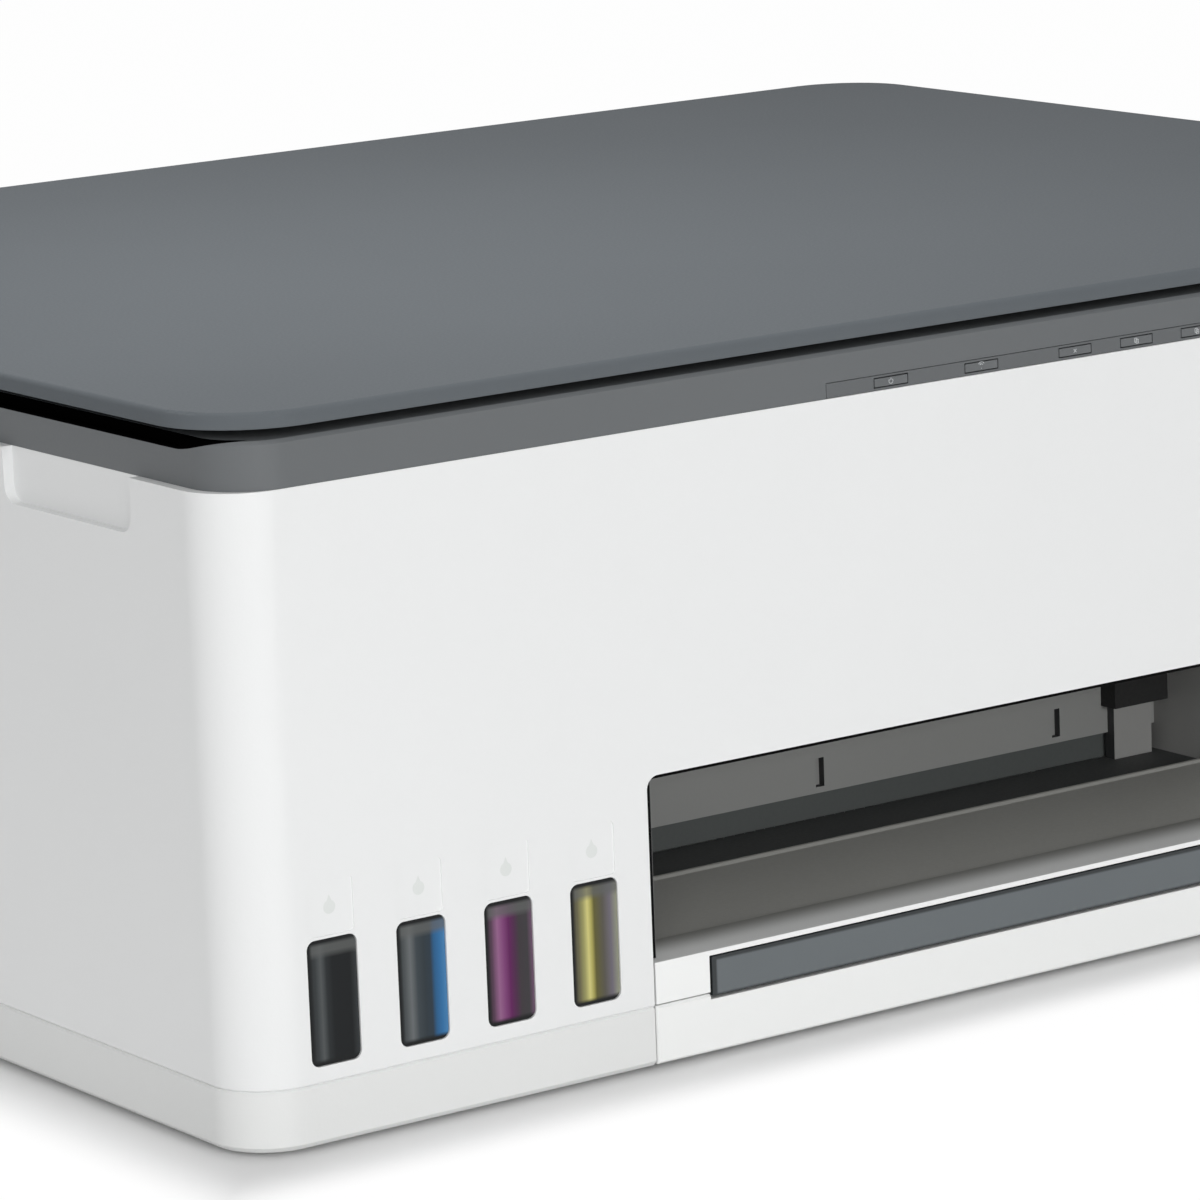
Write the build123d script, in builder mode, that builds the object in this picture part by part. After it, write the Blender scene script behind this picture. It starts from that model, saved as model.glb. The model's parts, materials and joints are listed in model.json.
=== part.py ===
"""Multifunction printer: a flatbed scanner hinged over an ink-tank print engine.

Frame: X to the right, Y to the back, Z up, millimetres. The origin is on the floor under
the middle of the whole box, from the front face to the back of the rear door.
"""
import os
from math import cos, pi, radians, sin

from build123d import *

os.makedirs("parts", exist_ok=True)

# Overall body
case_width = 435.0
case_depth = 345.0
rear_reach = 16.0
foot_height = 1.5
base_height = 13.3
case_height = 126.7
band_height = 10.3
lid_gap = 2.2
lid_thickness = 3.5
corner_radius = 14.0
lid_corner_radius = 22.0
lid_edge_round = 1.2
case_wall = 2.5
floor_thickness = 2.0
seam_chamfer = 0.5
bottom_chamfer = 1.2
foot_radius = 9.0
foot_inset = 26.0

# Clearances
seam_gap = 0.4
side_gap = 0.5
slip = 0.3
running_fit = 0.05

# Planes worked out from the overall body
front = -(case_depth + rear_reach) / 2
back = front + case_depth
middle = (front + back) / 2
side = case_width / 2
inner_front = front + case_wall
inner_back = back - case_wall
inner_side = side - case_wall
seam_z = foot_height + base_height
case_top = seam_z + case_height
band_top = case_top + band_height
lid_bottom = band_top + lid_gap
base_floor = foot_height + floor_thickness

# Front openings
bay_width = 226.4
opening_top = 66.0
opening_corner = 3.0
bay_half = bay_width / 2
tray_half = bay_half - side_gap
bay_wall = 2.0
bay_back_inset = 12.5
bay_back = back - bay_back_inset

# Ink windows and the tanks behind them
window_width = 12.5
window_height = 27.2
window_bottom = 18.5
window_corner = 2.0
window_rim = 1.5
window_recess = 0.3
tank_pitch = 22.35
window_inset = 22.3
tank_first_x = -side + window_inset
tank_count = 4
tank_width = 20.4
tank_depth = 70.5
tank_front = inner_front + window_rim
tank_back = tank_front + tank_depth
tank_top = 72.0
tank_wall = 1.6
ink_level = 58.0
ink_gap = 0.1
label_width = 11.5
label_height = 11.7
label_rise = 0.6
label_depth = 0.3
neck_radius = 4.5
neck_bore = 3.0
neck_height = 7.0
neck_inset = 40.5
neck_y = front + neck_inset
deck_thickness = 2.0
cap_width = 16.0
cap_thickness = 4.0
cap_reach = 12.0
cap_hinge_reach = 21.0
cap_hinge_y = neck_y + cap_hinge_reach
cap_barrel = 2.2
cap_pin = 1.2
lug_thickness = 2.0
lug_gap = 0.4
stopper_radius = 2.0
stopper_depth = 2.5
tube_radius = 1.5
tube_bend = 8.0
tube_low_z = 12.0
tube_high_z = 98.0
tube_pitch = 4.0
tube_end_x = 40.0

# Output bed, its white lip and the pull-out extender
bar_half = 97.5
bar_bottom = seam_z - 0.6
bar_height = 8.9
bar_depth = 6.0
bar_gap = 0.6
lip_top = 24.6
lip_depth = 17.0
bed_top = 23.0
bed_edge_inset = 63.5
bed_edge_y = front + bed_edge_inset
bed_ridge = 0.6
bed_low_top = 21.5
bed_depth = 88.9
bed_back = front + bed_depth
bed_flange = 4.3
extender_plate = 2.6
extender_length = 76.0
extender_slot = 4.0
slot_floor = 1.3
slot_end_gap = 2.9

# Exit housing around the output cavity
cavity_inset = 8.7
cavity_half = bay_half - cavity_inset
cavity_wall = 2.5
cavity_back_gap = 0.1
cavity_back = bed_back + cavity_back_gap + cavity_wall
exit_band_bottom = 28.0
exit_band_top = 51.0
exit_band_depth = 4.5
exit_slot_pitch = 73.0
exit_slot_width = 2.5
ceiling_depth = 15.0
ceiling_back = cavity_back - ceiling_depth

# Input tray with its width guides
tray_front_depth = 4.0
tray_front_gap = 2.5
tray_floor_gap = 0.4
tray_floor_thickness = 1.6
tray_back_inset = 42.5
tray_back = back - tray_back_inset
tray_wall = 1.5
tray_wall_top = 13.8
tray_rib = 1.6
notch_depth = 1.2
guide_inset = 130.5
guide_y = front + guide_inset
guide_length = 60.0
paper_width = 210.0
fence_thickness = 2.8
fence_top = 13.4
rack_width = 5.0
rack_height = 1.3
rack_gap = 0.2
gear_module = 1.0
pinion_teeth = 16
pinion_pin = 2.0
tooth_root = 1.05
tooth_tip = 0.45
tooth_height = 1.9
guide_travel = 50.0

# Paper path
roller_z = 46.0
roller_radius = 7.0
exit_roller_gap = 7.5
roller_spacing = 53.5
exit_roller_y = cavity_back + exit_roller_gap
feed_roller_y = exit_roller_y + roller_spacing
path_z = roller_z + roller_radius
nozzle_gap = 1.2
nozzle_z = path_z + nozzle_gap
feed_shaft = 4.0
exit_shaft = 3.0
sleeve_width = 18.0
sleeve_pitch = 40.0
sleeve_count = 5
pinch_radius = 4.0
pinch_pin = 1.5
pinch_width = 14.0
pinch_count = 4
star_radius = 4.5
star_pin = 1.0
star_pitch = 36.0
star_count = 6
star_width = 2.0
pinch_z = path_z + slip + pinch_radius
star_z = path_z + slip + star_radius
turn_inset = 38.5
turn_y = back - turn_inset
turn_z = 34.0
turn_inner = 18.0
turn_outer = 22.5
turn_wall = 2.0

# Engine base with its rollers' cheeks
cheek_inset = 2.2
cheek_thickness = 5.0
cheek_reach = 52.0
cheek_inner = bay_half - cheek_inset
cheek_outer = cheek_inner + cheek_thickness
cheek_front = cavity_back - 1
cheek_back = feed_roller_y + cheek_reach
pinch_pitch = (cheek_inner - 3) / 2
plate_z = 24.0
plate_thickness = 3.0
pulley_radius = 6.0
pulley_gap = 1.4
pulley_inner_x = -cheek_outer - pulley_gap
pulley_width = 5.6
belt_gap = 0.3
belt_thickness = 1.0
belt_width = 4.4
flange_rise = 1.6
flange_width = 0.5
feed_motor_offset = 32.0
feed_motor_y = feed_roller_y + feed_motor_offset
feed_motor_radius = 13.0
feed_motor_length = 24.0
motor_shaft = 1.5
bracket_offset = 10.0
bracket_x = -cheek_outer - bracket_offset
bracket_thickness = 1.8

# Sheet metal frame, guide rod, carriage belt
sheet = 1.4
frame_left_inset = 61.5
frame_right_inset = 11.5
frame_reach = 31.4
frame_left = -side + frame_left_inset
frame_right = side - frame_right_inset
frame_front = ceiling_back
frame_back = feed_roller_y + frame_reach
frame_top = 112.0
frame_low = 60.0
rod_radius = 4.0
rod_offset = 8.0
rod_y = feed_roller_y + rod_offset
rod_z = 70.0
belt_offset = 10.5
belt_y = rod_y + belt_offset
belt_z = 88.0
pulley_inset = 14.0
drive_x = frame_right - pulley_inset
idler_x = frame_left + pulley_inset
carriage_pulley = 7.0
carriage_motor_radius = 14.0
carriage_motor_length = 36.0
idler_pin = 2.0

# Carriage with two printheads
home_inset = 46.0
home_x = frame_right - home_inset
carriage_width = 56.0
carriage_overhang = 14.5
rod_clearance = 10.0
roller_clearance = 1.0
carriage_front = exit_roller_y - carriage_overhang
carriage_back = rod_y - rod_clearance
throat_front = exit_roller_y + roller_radius - roller_clearance / 2
throat_back = feed_roller_y - roller_radius - roller_clearance
throat_bottom = 56.0
carriage_floor = 64.0
head_seat = 66.0
carriage_top = 96.0
head_wall = 2.0
head_gap = 0.3
bearing_wall = 2.5
bearing_back = rod_y + rod_radius + bearing_wall
bearing_top = 86.0
bearing_half = 20.0
clamp_half = 15.0
clamp_height = 4.0
latch_inset = 3.0
latch_rise = 2.0
latch_y = carriage_front + latch_inset
latch_z = carriage_top + latch_rise
latch_reach = 19.0
latch_thickness = 3.0
latch_pin = 1.2

# Pick arm
pick_arm_length = 48.0
pick_roller_inset = 38.0
pick_roller_y = turn_y - pick_roller_inset
pick_y = pick_roller_y - pick_arm_length
pick_z = 40.0
pick_pin = 2.0
pick_roller_radius = 12.5
pick_rest_z = 7.6
pick_arm_half = 13.0
pick_arm_wall = 4.0
pick_arm_height = 10.0
pick_roller_half = 8.0
pick_boss = 3.0

# Service station
station_half = 30.0
station_margin = 2.0
station_x = (home_x - station_half, home_x + station_half)
station_y = (carriage_front - station_margin, throat_back + station_margin)
station_top = 46.0
station_wall = 2.0
sled_travel = 3.0
sled_plate = 3.0
cup_depth = 8.0
cup_wall = 1.5

# Electronics
tube_gap = 20.6
tube_first_y = frame_back + tube_gap
rear_inset = 14.5
board_inset = 10.5
board_gap = 11.6
board_x = side - board_inset
board_thickness = 1.6
board_y = (frame_back + board_gap, back - rear_inset)
board_z = (20.0, 100.0)
usb_size = 12.0
usb_z = 30.0
supply_inset = 5.5
supply_width = 52.0
supply_x = (-side + supply_inset, -side + supply_inset + supply_width)
supply_y = (tube_first_y + tank_count * tube_pitch, back - rear_inset)
supply_top = 45.0
inlet_width = 20.0
inlet_height = 16.0
inlet_z = 26.0
inlet_x = (supply_x[0] + supply_x[1]) / 2
inlet_depth = 12.0

# Hinges behind the case
hinge_offset = 4.0
hinge_y = back + hinge_offset
hinge_barrel = 3.5
hinge_pin = 1.8
ear_thickness = 3.5
tongue_width = 8.0
scanner_hinge_inset = 47.5
scanner_hinge_x = side - scanner_hinge_inset
scanner_hinge_z = case_top - 1.5
lid_hinge_inset = 87.5
lid_hinge_x = side - lid_hinge_inset
lid_hinge_z = lid_bottom - 1.4

# Rear door
door_overlap = 4.8
door_half = bay_half + door_overlap
door_bottom = 20.5
door_top = 106.0
door_wall = 2.2
door_axis_z = 23.0
door_opening_inset = 8.2
door_opening_half = bay_half - door_opening_inset
door_opening_z = (33.0, 100.0)
door_round = 5.0
door_rib = 2.0
door_rib_pitch = 45.0

# Shallow finger recesses on both sides
recess_inset = 34.5
recess_length = 52.0
recess_height = 12.0
recess_y = (front + recess_inset, front + recess_inset + recess_length)
recess_bottom = case_top - recess_height
recess_depth = 2.4
recess_wall = 1.8
recess_corner = 4.0

# Scanner unit
tub_inset = 16.5
tub_depth = 23.5
tub_floor = case_top - tub_depth
tub_wall = 2.0
flange_thickness = 2.0
bezel_plate = 2.5
band_side_inset = 2.4
band_chamfer = 0.8
relief_depth = 2.0
relief_width = 2.0
relief_end_gap = 18.0
band_half = side - band_side_inset
glass_left_inset = 42.5
glass_right_inset = 92.5
glass_front_inset = 45.5
glass_width = 218.0
glass_x = (-side + glass_left_inset, side - glass_right_inset)
glass_y = (front + glass_front_inset, front + glass_front_inset + glass_width)
glass_margin = 6.0
glass_thickness = 3.0
pad_gap = 1.5
pad_lift = 0.3
post_radius = 4.0
rod_line_y = (glass_y[0] + glass_y[1]) / 2
rod_block_offset = 25.0
rod_block_length = 6.0
scan_rod_radius = 3.0
scan_bar_width = 18.0
scan_bar_gap = 0.5
bush_half = 7.0
bush_length = 26.0

# Control panel on the scanner's front band
panel_half = 61.5
panel_height = 3.5
panel_depth = 1.2
panel_gap = 0.1
button_width = 9.2
button_height = 1.9
button_gap = 0.2
button_stem = 6.0
button_travel = 0.6
button_flange = 1.0
button_places = {
    "power_button": -43.5,
    "wireless_button": -18.0,
    "cancel_button": 9.0,
    "mono_copy_button": 27.0,
    "colour_copy_button": 45.0,
}


def block(x, y, z, mode=Mode.ADD):
    """Add or cut a box between the limits x, y and z."""
    with Locations(((x[0] + x[1]) / 2, (y[0] + y[1]) / 2, (z[0] + z[1]) / 2)):
        Box(x[1] - x[0], y[1] - y[0], z[1] - z[0], mode=mode)


def rod_x(x, y, z, radius, mode=Mode.ADD):
    """Add or cut a round bar along X between the limits x, centred on y and z."""
    with Locations(Location(((x[0] + x[1]) / 2, y, z), (0, 90, 0))):
        Cylinder(radius, x[1] - x[0], mode=mode)


def rod_y_way(x, y, z, radius, mode=Mode.ADD):
    """Add or cut a round bar along Y between the limits y, centred on x and z."""
    with Locations(Location((x, (y[0] + y[1]) / 2, z), (90, 0, 0))):
        Cylinder(radius, y[1] - y[0], mode=mode)


def plan(z, width, depth, radius, height, mode=Mode.ADD):
    """Add or cut a prism with rounded corners on the body's plan, from z upwards."""
    with BuildSketch(Plane.XY.offset(z)) as outline:
        with Locations((0, middle)):
            RectangleRounded(width, depth, radius)
    extrude(outline.sketch, amount=height, mode=mode)


def both(limits, sign):
    """Mirror a pair of X limits for the left or the right side."""
    return (limits[0], limits[1]) if sign > 0 else (-limits[1], -limits[0])


def tank_x(number):
    """Middle of a tank and of its window, from the black one on the left."""
    return tank_first_x + number * tank_pitch


# Base: a shallow tub with the tray's bay and the ramp that turns sheets up
ramp_low = (turn_y + turn_outer * cos(radians(-60)), turn_z + turn_outer * sin(radians(-60)))
ramp_mid = (turn_y + turn_outer * cos(radians(-34)), turn_z + turn_outer * sin(radians(-34)))
ramp_high = (turn_y + turn_outer * cos(radians(-8)), turn_z + turn_outer * sin(radians(-8)))
ramp_start = tray_back + 2
with BuildPart() as base_tub:
    plan(foot_height, case_width, case_depth, corner_radius, base_height)
    chamfer(base_tub.edges().group_by(Axis.Z)[0], bottom_chamfer)
    chamfer(base_tub.edges().group_by(Axis.Z)[-1], seam_chamfer)
    inner_corner = corner_radius - case_wall
    plan(base_floor, case_width - 2 * case_wall, case_depth - 2 * case_wall, inner_corner,
         base_height, Mode.SUBTRACT)
    block((-bay_half, bay_half), (front - 1, front + tray_front_depth + tray_front_gap),
          (0, seam_z + 1), Mode.SUBTRACT)
    for sign in (-1, 1):
        block(both((bay_half, bay_half + bay_wall), sign), (inner_front, bay_back),
              (base_floor, seam_z))
    with BuildSketch(Plane.YZ.offset(-bay_half - bay_wall)):
        with BuildLine():
            Polyline((ramp_start, base_floor), ramp_low)
            ThreePointArc(ramp_low, ramp_mid, ramp_high)
            Polyline(ramp_high, (bay_back, ramp_high[1]), (bay_back, base_floor),
                     (ramp_start, base_floor))
        make_face()
    extrude(amount=2 * (bay_half + bay_wall))
base_tub.part.label = "base_tub"
export_step(base_tub.part, "parts/base_tub.step")

# Four rubber feet under the base
foot_spots = [(sx * (side - foot_inset), y) for sx in (-1, 1)
              for y in (front + foot_inset, back - foot_inset)]
with BuildPart() as rubber_feet:
    with BuildSketch():
        with Locations(*foot_spots):
            Circle(foot_radius)
    extrude(amount=foot_height)
rubber_feet.part.label = "rubber_feet"
export_step(rubber_feet.part, "parts/rubber_feet.step")

# White case: a tall ring with the output opening, windows, recesses and rear openings
with BuildPart() as main_case:
    plan(seam_z, case_width, case_depth, corner_radius, case_height)
    chamfer(main_case.edges().group_by(Axis.Z)[0], seam_chamfer)
    plan(seam_z, case_width - 2 * case_wall, case_depth - 2 * case_wall, inner_corner,
         case_height, Mode.SUBTRACT)
    # Output opening, rounded at its two upper corners and open at the seam
    with BuildSketch(Plane.XZ.offset(-front + 1)):
        with Locations((0, opening_top / 2)):
            RectangleRounded(bay_width, opening_top, opening_corner)
    extrude(amount=-(case_wall + 2), mode=Mode.SUBTRACT)
    # Ink windows with a shallow label field above each
    label_bottom = window_bottom + window_height + label_rise
    with BuildSketch(Plane.XZ.offset(-front + 1)):
        for number in range(tank_count):
            with Locations((tank_x(number), window_bottom + window_height / 2)):
                RectangleRounded(window_width, window_height, window_corner)
    extrude(amount=-(case_wall + 2), mode=Mode.SUBTRACT)
    with BuildSketch(Plane.XZ.offset(-front)):
        for number in range(tank_count):
            with Locations((tank_x(number), label_bottom + label_height / 2)):
                RectangleRounded(label_width, label_height, 1)
    extrude(amount=-label_depth, mode=Mode.SUBTRACT)
    # Finger recesses: a pocket behind each notch in the side wall
    for sign in (-1, 1):
        block(both((side - recess_depth - recess_wall, inner_side + 0.5), sign),
              (recess_y[0] - recess_wall, recess_y[1] + recess_wall),
              (recess_bottom - recess_wall, case_top))
        with BuildSketch(Plane.YZ.offset(sign * (side - recess_depth))):
            with Locations(((recess_y[0] + recess_y[1]) / 2, recess_bottom + 20)):
                RectangleRounded(recess_y[1] - recess_y[0], 40, recess_corner)
        extrude(amount=sign * (recess_depth + 1), mode=Mode.SUBTRACT)
    # Rear openings for the door, the mains inlet and the data socket
    block((-door_opening_half, door_opening_half), (inner_back - 1, back + 1), door_opening_z,
          Mode.SUBTRACT)
    block((inlet_x - inlet_width / 2 - seam_gap, inlet_x + inlet_width / 2 + seam_gap),
          (inner_back - 1, back + 1),
          (inlet_z - inlet_height / 2 - seam_gap, inlet_z + inlet_height / 2 + seam_gap),
          Mode.SUBTRACT)
    block((board_x - usb_size - seam_gap, board_x + seam_gap), (inner_back - 1, back + 1),
          (usb_z - seam_gap, usb_z + usb_size + seam_gap), Mode.SUBTRACT)
    # Hinge ears with their pins, for the scanner unit above
    for sign in (-1, 1):
        for offset in (-1, 1):
            ear_low = sign * scanner_hinge_x + offset * (tongue_width / 2 + side_gap)
            ear_high = ear_low + offset * ear_thickness
            ear = (min(ear_low, ear_high), max(ear_low, ear_high))
            rod_x(ear, hinge_y, scanner_hinge_z, hinge_barrel)
            block(ear, (inner_back + 1, hinge_y),
                  (scanner_hinge_z - 2 * hinge_barrel, case_top))
        pin_half = tongue_width / 2 + side_gap + 1
        rod_x((sign * scanner_hinge_x - pin_half, sign * scanner_hinge_x + pin_half),
              hinge_y, scanner_hinge_z, hinge_pin)
        # Lugs with pins for the rear door
        block(both((door_half + seam_gap, door_half + seam_gap + 4), sign),
              (inner_back + 1, hinge_y + hinge_barrel),
              (door_axis_z - hinge_barrel, door_axis_z + hinge_barrel))
        rod_x(both((door_half - door_wall, door_half + seam_gap + 1), sign),
              hinge_y, door_axis_z, hinge_pin)
    # Bosses that hold the main board off the right wall
    for y in (board_y[0] + 10, board_y[1] - 10):
        for z in (board_z[0] + 8, board_z[1] - 8):
            rod_x((board_x + board_thickness, inner_side + 0.5), y, z, 3)
main_case.part.label = "main_case"
export_step(main_case.part, "parts/main_case.step")

# Window lenses: a pane in each hole, with a flange behind the wall
with BuildPart() as tank_windows:
    for number in range(tank_count):
        with BuildSketch(Plane.XZ.offset(-front - window_recess)):
            with Locations((tank_x(number), window_bottom + window_height / 2)):
                RectangleRounded(window_width - 0.1, window_height - 0.1, window_corner)
        extrude(amount=-(case_wall - window_recess))
        with BuildSketch(Plane.XZ.offset(-inner_front)):
            with Locations((tank_x(number), window_bottom + window_height / 2)):
                RectangleRounded(window_width + 3, window_height + 3, window_corner)
        extrude(amount=-(window_rim - slip))
tank_windows.part.label = "tank_windows"
export_step(tank_windows.part, "parts/tank_windows.step")

# Ink tanks standing on the base, each with a filler neck
with BuildPart() as ink_tanks:
    for number in range(tank_count):
        x = tank_x(number)
        block((x - tank_width / 2, x + tank_width / 2), (tank_front, tank_back),
              (base_floor, tank_top))
        with Locations((x, neck_y, tank_top + neck_height / 2)):
            Cylinder(neck_radius, neck_height)
        inner = tank_width / 2 - tank_wall
        block((x - inner, x + inner), (tank_front + tank_wall, tank_back - tank_wall),
              (base_floor + tank_wall, tank_top - tank_wall), Mode.SUBTRACT)
        with Locations((x, neck_y, tank_top + neck_height / 2)):
            Cylinder(neck_bore, neck_height + 4 * tank_wall, mode=Mode.SUBTRACT)
ink_tanks.part.label = "ink_tanks"
export_step(ink_tanks.part, "parts/ink_tanks.step")

# Ink in the tanks
with BuildPart() as ink_fills:
    for number in range(tank_count):
        x = tank_x(number)
        inner = tank_width / 2 - tank_wall - ink_gap
        block((x - inner, x + inner),
              (tank_front + tank_wall + ink_gap, tank_back - tank_wall - ink_gap),
              (base_floor + tank_wall + ink_gap, ink_level))
ink_fills.part.label = "ink_fills"
export_step(ink_fills.part, "parts/ink_fills.step")

# Deck over the tanks, with the lugs and pins of the filler caps
cap_bottom = tank_top + neck_height + slip
cap_axis_z = cap_bottom + cap_thickness / 2
deck_left = tank_x(0) - tank_width / 2
deck_right = tank_x(tank_count - 1) + tank_width / 2
with BuildPart() as tank_deck:
    block((deck_left, deck_right), (tank_front, tank_back), (tank_top, tank_top + deck_thickness))
    for number in range(tank_count):
        x = tank_x(number)
        with Locations((x, neck_y, tank_top + deck_thickness / 2)):
            Cylinder(neck_radius + slip, deck_thickness + 1, mode=Mode.SUBTRACT)
        for offset in (-1, 1):
            lug_low = x + offset * (cap_width / 2 + lug_gap)
            lug_high = lug_low + offset * lug_thickness
            block((min(lug_low, lug_high), max(lug_low, lug_high)),
                  (cap_hinge_y - cap_barrel, cap_hinge_y + cap_barrel),
                  (tank_top + deck_thickness, cap_axis_z + cap_barrel))
        pin_half = cap_width / 2 + lug_gap + 0.5
        rod_x((x - pin_half, x + pin_half), cap_hinge_y, cap_axis_z, cap_pin)
tank_deck.part.label = "tank_deck"
export_step(tank_deck.part, "parts/tank_deck.step")

# Filler caps: a lever that lies on the neck, with a stopper under it
cap_names = ["black_cap", "cyan_cap", "magenta_cap", "yellow_cap"]
for number, cap_name in enumerate(cap_names):
    x = tank_x(number)
    with BuildPart() as ink_cap:
        block((x - cap_width / 2, x + cap_width / 2), (neck_y - cap_reach, cap_hinge_y),
              (cap_bottom, cap_bottom + cap_thickness))
        fillet(ink_cap.edges().filter_by(Axis.Z).group_by(Axis.Y)[0], 4)
        rod_x((x - cap_width / 2, x + cap_width / 2), cap_hinge_y, cap_axis_z, cap_barrel)
        with Locations((x, neck_y, cap_bottom - stopper_depth / 2)):
            Cylinder(stopper_radius, stopper_depth)
        rod_x((x - cap_width, x + cap_width), cap_hinge_y, cap_axis_z,
              cap_pin + running_fit, Mode.SUBTRACT)
        # Thumb rib across the free end
        block((x - cap_width / 2 + 4, x + cap_width / 2 - 4),
              (neck_y - cap_reach + 2, neck_y - cap_reach + 4),
              (cap_bottom + cap_thickness, cap_bottom + cap_thickness + 1))
    ink_cap.part.label = cap_name
    export_step(ink_cap.part, f"parts/{cap_name}.step")

# Fixed run of the four ink tubes, from the tanks up to the middle of the rail
with BuildPart() as ink_tubes:
    for number in range(tank_count):
        x = tank_x(number)
        y = tube_first_y + number * tube_pitch
        with BuildLine() as route:
            FilletPolyline((x, tank_back, tube_low_z), (x, y, tube_low_z), (x, y, tube_high_z),
                           (tube_end_x, y, tube_high_z), radius=tube_bend)
        with BuildSketch(Plane.XZ.offset(-tank_back)):
            with Locations((x, tube_low_z)):
                Circle(tube_radius)
        sweep(path=route.line)
ink_tubes.part.label = "ink_tubes"
export_step(ink_tubes.part, "parts/ink_tubes.step")

# White lip over the pull-out bar
lip_back = front + lip_depth
bar_top = bar_bottom + bar_height
with BuildPart() as output_lip:
    with BuildSketch(Plane.YZ.offset(-tray_half)):
        with BuildLine():
            Polyline((front, bar_top + slip), (front, lip_top), (lip_back - 1.6, lip_top))
            RadiusArc((lip_back - 1.6, lip_top), (lip_back, bed_top), 1.6)
            Polyline((lip_back, bed_top), (front + bar_depth + slip, bed_top),
                     (front + bar_depth + slip, bar_top + slip), (front, bar_top + slip))
        make_face()
    extrude(amount=2 * tray_half)
    for sign in (-1, 1):
        block(both((bar_half + bar_gap, tray_half), sign), (front, front + bar_depth),
              (seam_z + seam_gap, bar_top + slip))
output_lip.part.label = "output_lip"
export_step(output_lip.part, "parts/output_lip.step")

# Dark bed behind the lip, a flat box with the extender's slot
slot_bottom = seam_z + seam_gap + slot_floor
slot_back = front + bar_depth + extender_length + slot_end_gap
with BuildPart() as output_bed:
    with BuildSketch(Plane.YZ.offset(-tray_half)):
        with BuildLine():
            Polyline((front + bar_depth + slip, seam_z + seam_gap),
                     (front + bar_depth + slip, bed_top), (bed_edge_y - 1, bed_top),
                     (bed_edge_y, bed_top + bed_ridge), (bed_edge_y + 1, bed_top + bed_ridge),
                     (bed_edge_y + 1.6, bed_low_top), (bed_back, bed_low_top),
                     (bed_back, seam_z + seam_gap), (front + bar_depth + slip, seam_z + seam_gap))
        make_face()
    extrude(amount=2 * tray_half)
    block((-bar_half - bar_gap, bar_half + bar_gap), (front, slot_back),
          (slot_bottom, slot_bottom + extender_slot), Mode.SUBTRACT)
    for sign in (-1, 1):
        block(both((tray_half - 2, tray_half + bed_flange), sign), (inner_front + 6, bed_back - 4),
              (seam_z, seam_z + 2))
output_bed.part.label = "output_bed"
export_step(output_bed.part, "parts/output_bed.step")

# Pull-out extender: the grey front bar with its plate
with BuildPart() as tray_extender:
    block((-bar_half, bar_half), (front, front + bar_depth), (bar_bottom, bar_top))
    plate_bottom = slot_bottom + (extender_slot - extender_plate) / 2 - slip
    block((-bar_half + 3, bar_half - 3), (front + bar_depth - 1, front + bar_depth + extender_length),
          (plate_bottom, plate_bottom + extender_plate))
    # Finger groove along the bar's lower edge
    with BuildSketch(Plane.YZ.offset(-bar_half + 20)):
        with Locations((front + bar_depth / 2 + 1, bar_bottom)):
            Circle(1.5)
    extrude(amount=2 * bar_half - 40, mode=Mode.SUBTRACT)
tray_extender.part.label = "tray_extender"
export_step(tray_extender.part, "parts/tray_extender.step")

# Exit housing: cavity walls, ceiling, banded rear wall and the star wheels' fingers
star_finger_x = (-cavity_half + 2, -star_pitch, star_pitch, cavity_half - 2)
rear_wall_top = carriage_floor - 2
beam_back = ceiling_back + cavity_wall
with BuildPart() as exit_housing:
    for sign in (-1, 1):
        wall_x = both((cavity_half, cavity_half + cavity_wall), sign)
        block(wall_x, (lip_back, beam_back), (bed_top + bed_ridge, opening_top + slip))
        block(wall_x, (bed_edge_y + 3, beam_back), (bed_low_top, opening_top))
        block(wall_x, (beam_back - 1, cavity_back), (bed_low_top, rear_wall_top))
        with BuildSketch(Plane.XY.offset(lip_top + 0.2)):
            with BuildLine():
                Polyline((sign * cavity_half, lip_back + 1), (sign * cavity_half, lip_back),
                         (sign * (bay_half - slip - cavity_wall), inner_front + slip),
                         (sign * (bay_half - slip), inner_front + slip),
                         (sign * (cavity_half + cavity_wall), lip_back + 1), close=True)
            make_face()
        extrude(amount=opening_top - lip_top)
    block((-bay_half + slip, bay_half - slip), (inner_front + slip, beam_back),
          (opening_top + 0.1, opening_top + 2.1))
    block((-cavity_half, cavity_half), (ceiling_back, beam_back),
          (star_z - 1, opening_top + 2.1))
    block((-cavity_half, cavity_half), (cavity_back - cavity_wall, cavity_back),
          (bed_low_top, exit_band_top))
    block((-cavity_half, cavity_half), (cavity_back - exit_band_depth, cavity_back),
          (exit_band_bottom, exit_band_top))
    for place in (-exit_slot_pitch, 0, exit_slot_pitch):
        block((place - exit_slot_width / 2, place + exit_slot_width / 2),
              (cavity_back - exit_band_depth - 1, cavity_back - cavity_wall),
              (exit_band_bottom + 1.5, exit_band_bottom + 8.5), Mode.SUBTRACT)
    # Corner pillars in front of the band, with a heavier block above
    for sign in (-1, 1):
        block(both((cavity_half - 15, cavity_half - 3), sign),
              (cavity_back - exit_band_depth - 2.5, cavity_back - exit_band_depth + 1),
              (bed_low_top, 35))
        block(both((cavity_half - 17, cavity_half + 1), sign),
              (cavity_back - exit_band_depth - 5.5, cavity_back - exit_band_depth + 1),
              (35, exit_band_top))
    for place in star_finger_x:
        block((place - 1.5, place + 1.5), (ceiling_back, exit_roller_y + 2),
              (star_z - 1.7, star_z + 1.7))
    rod_x((-cavity_half - 0.5, cavity_half + 0.5), exit_roller_y, star_z,
          star_pin + running_fit, Mode.SUBTRACT)
exit_housing.part.label = "exit_housing"
export_step(exit_housing.part, "parts/exit_housing.step")

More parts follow.
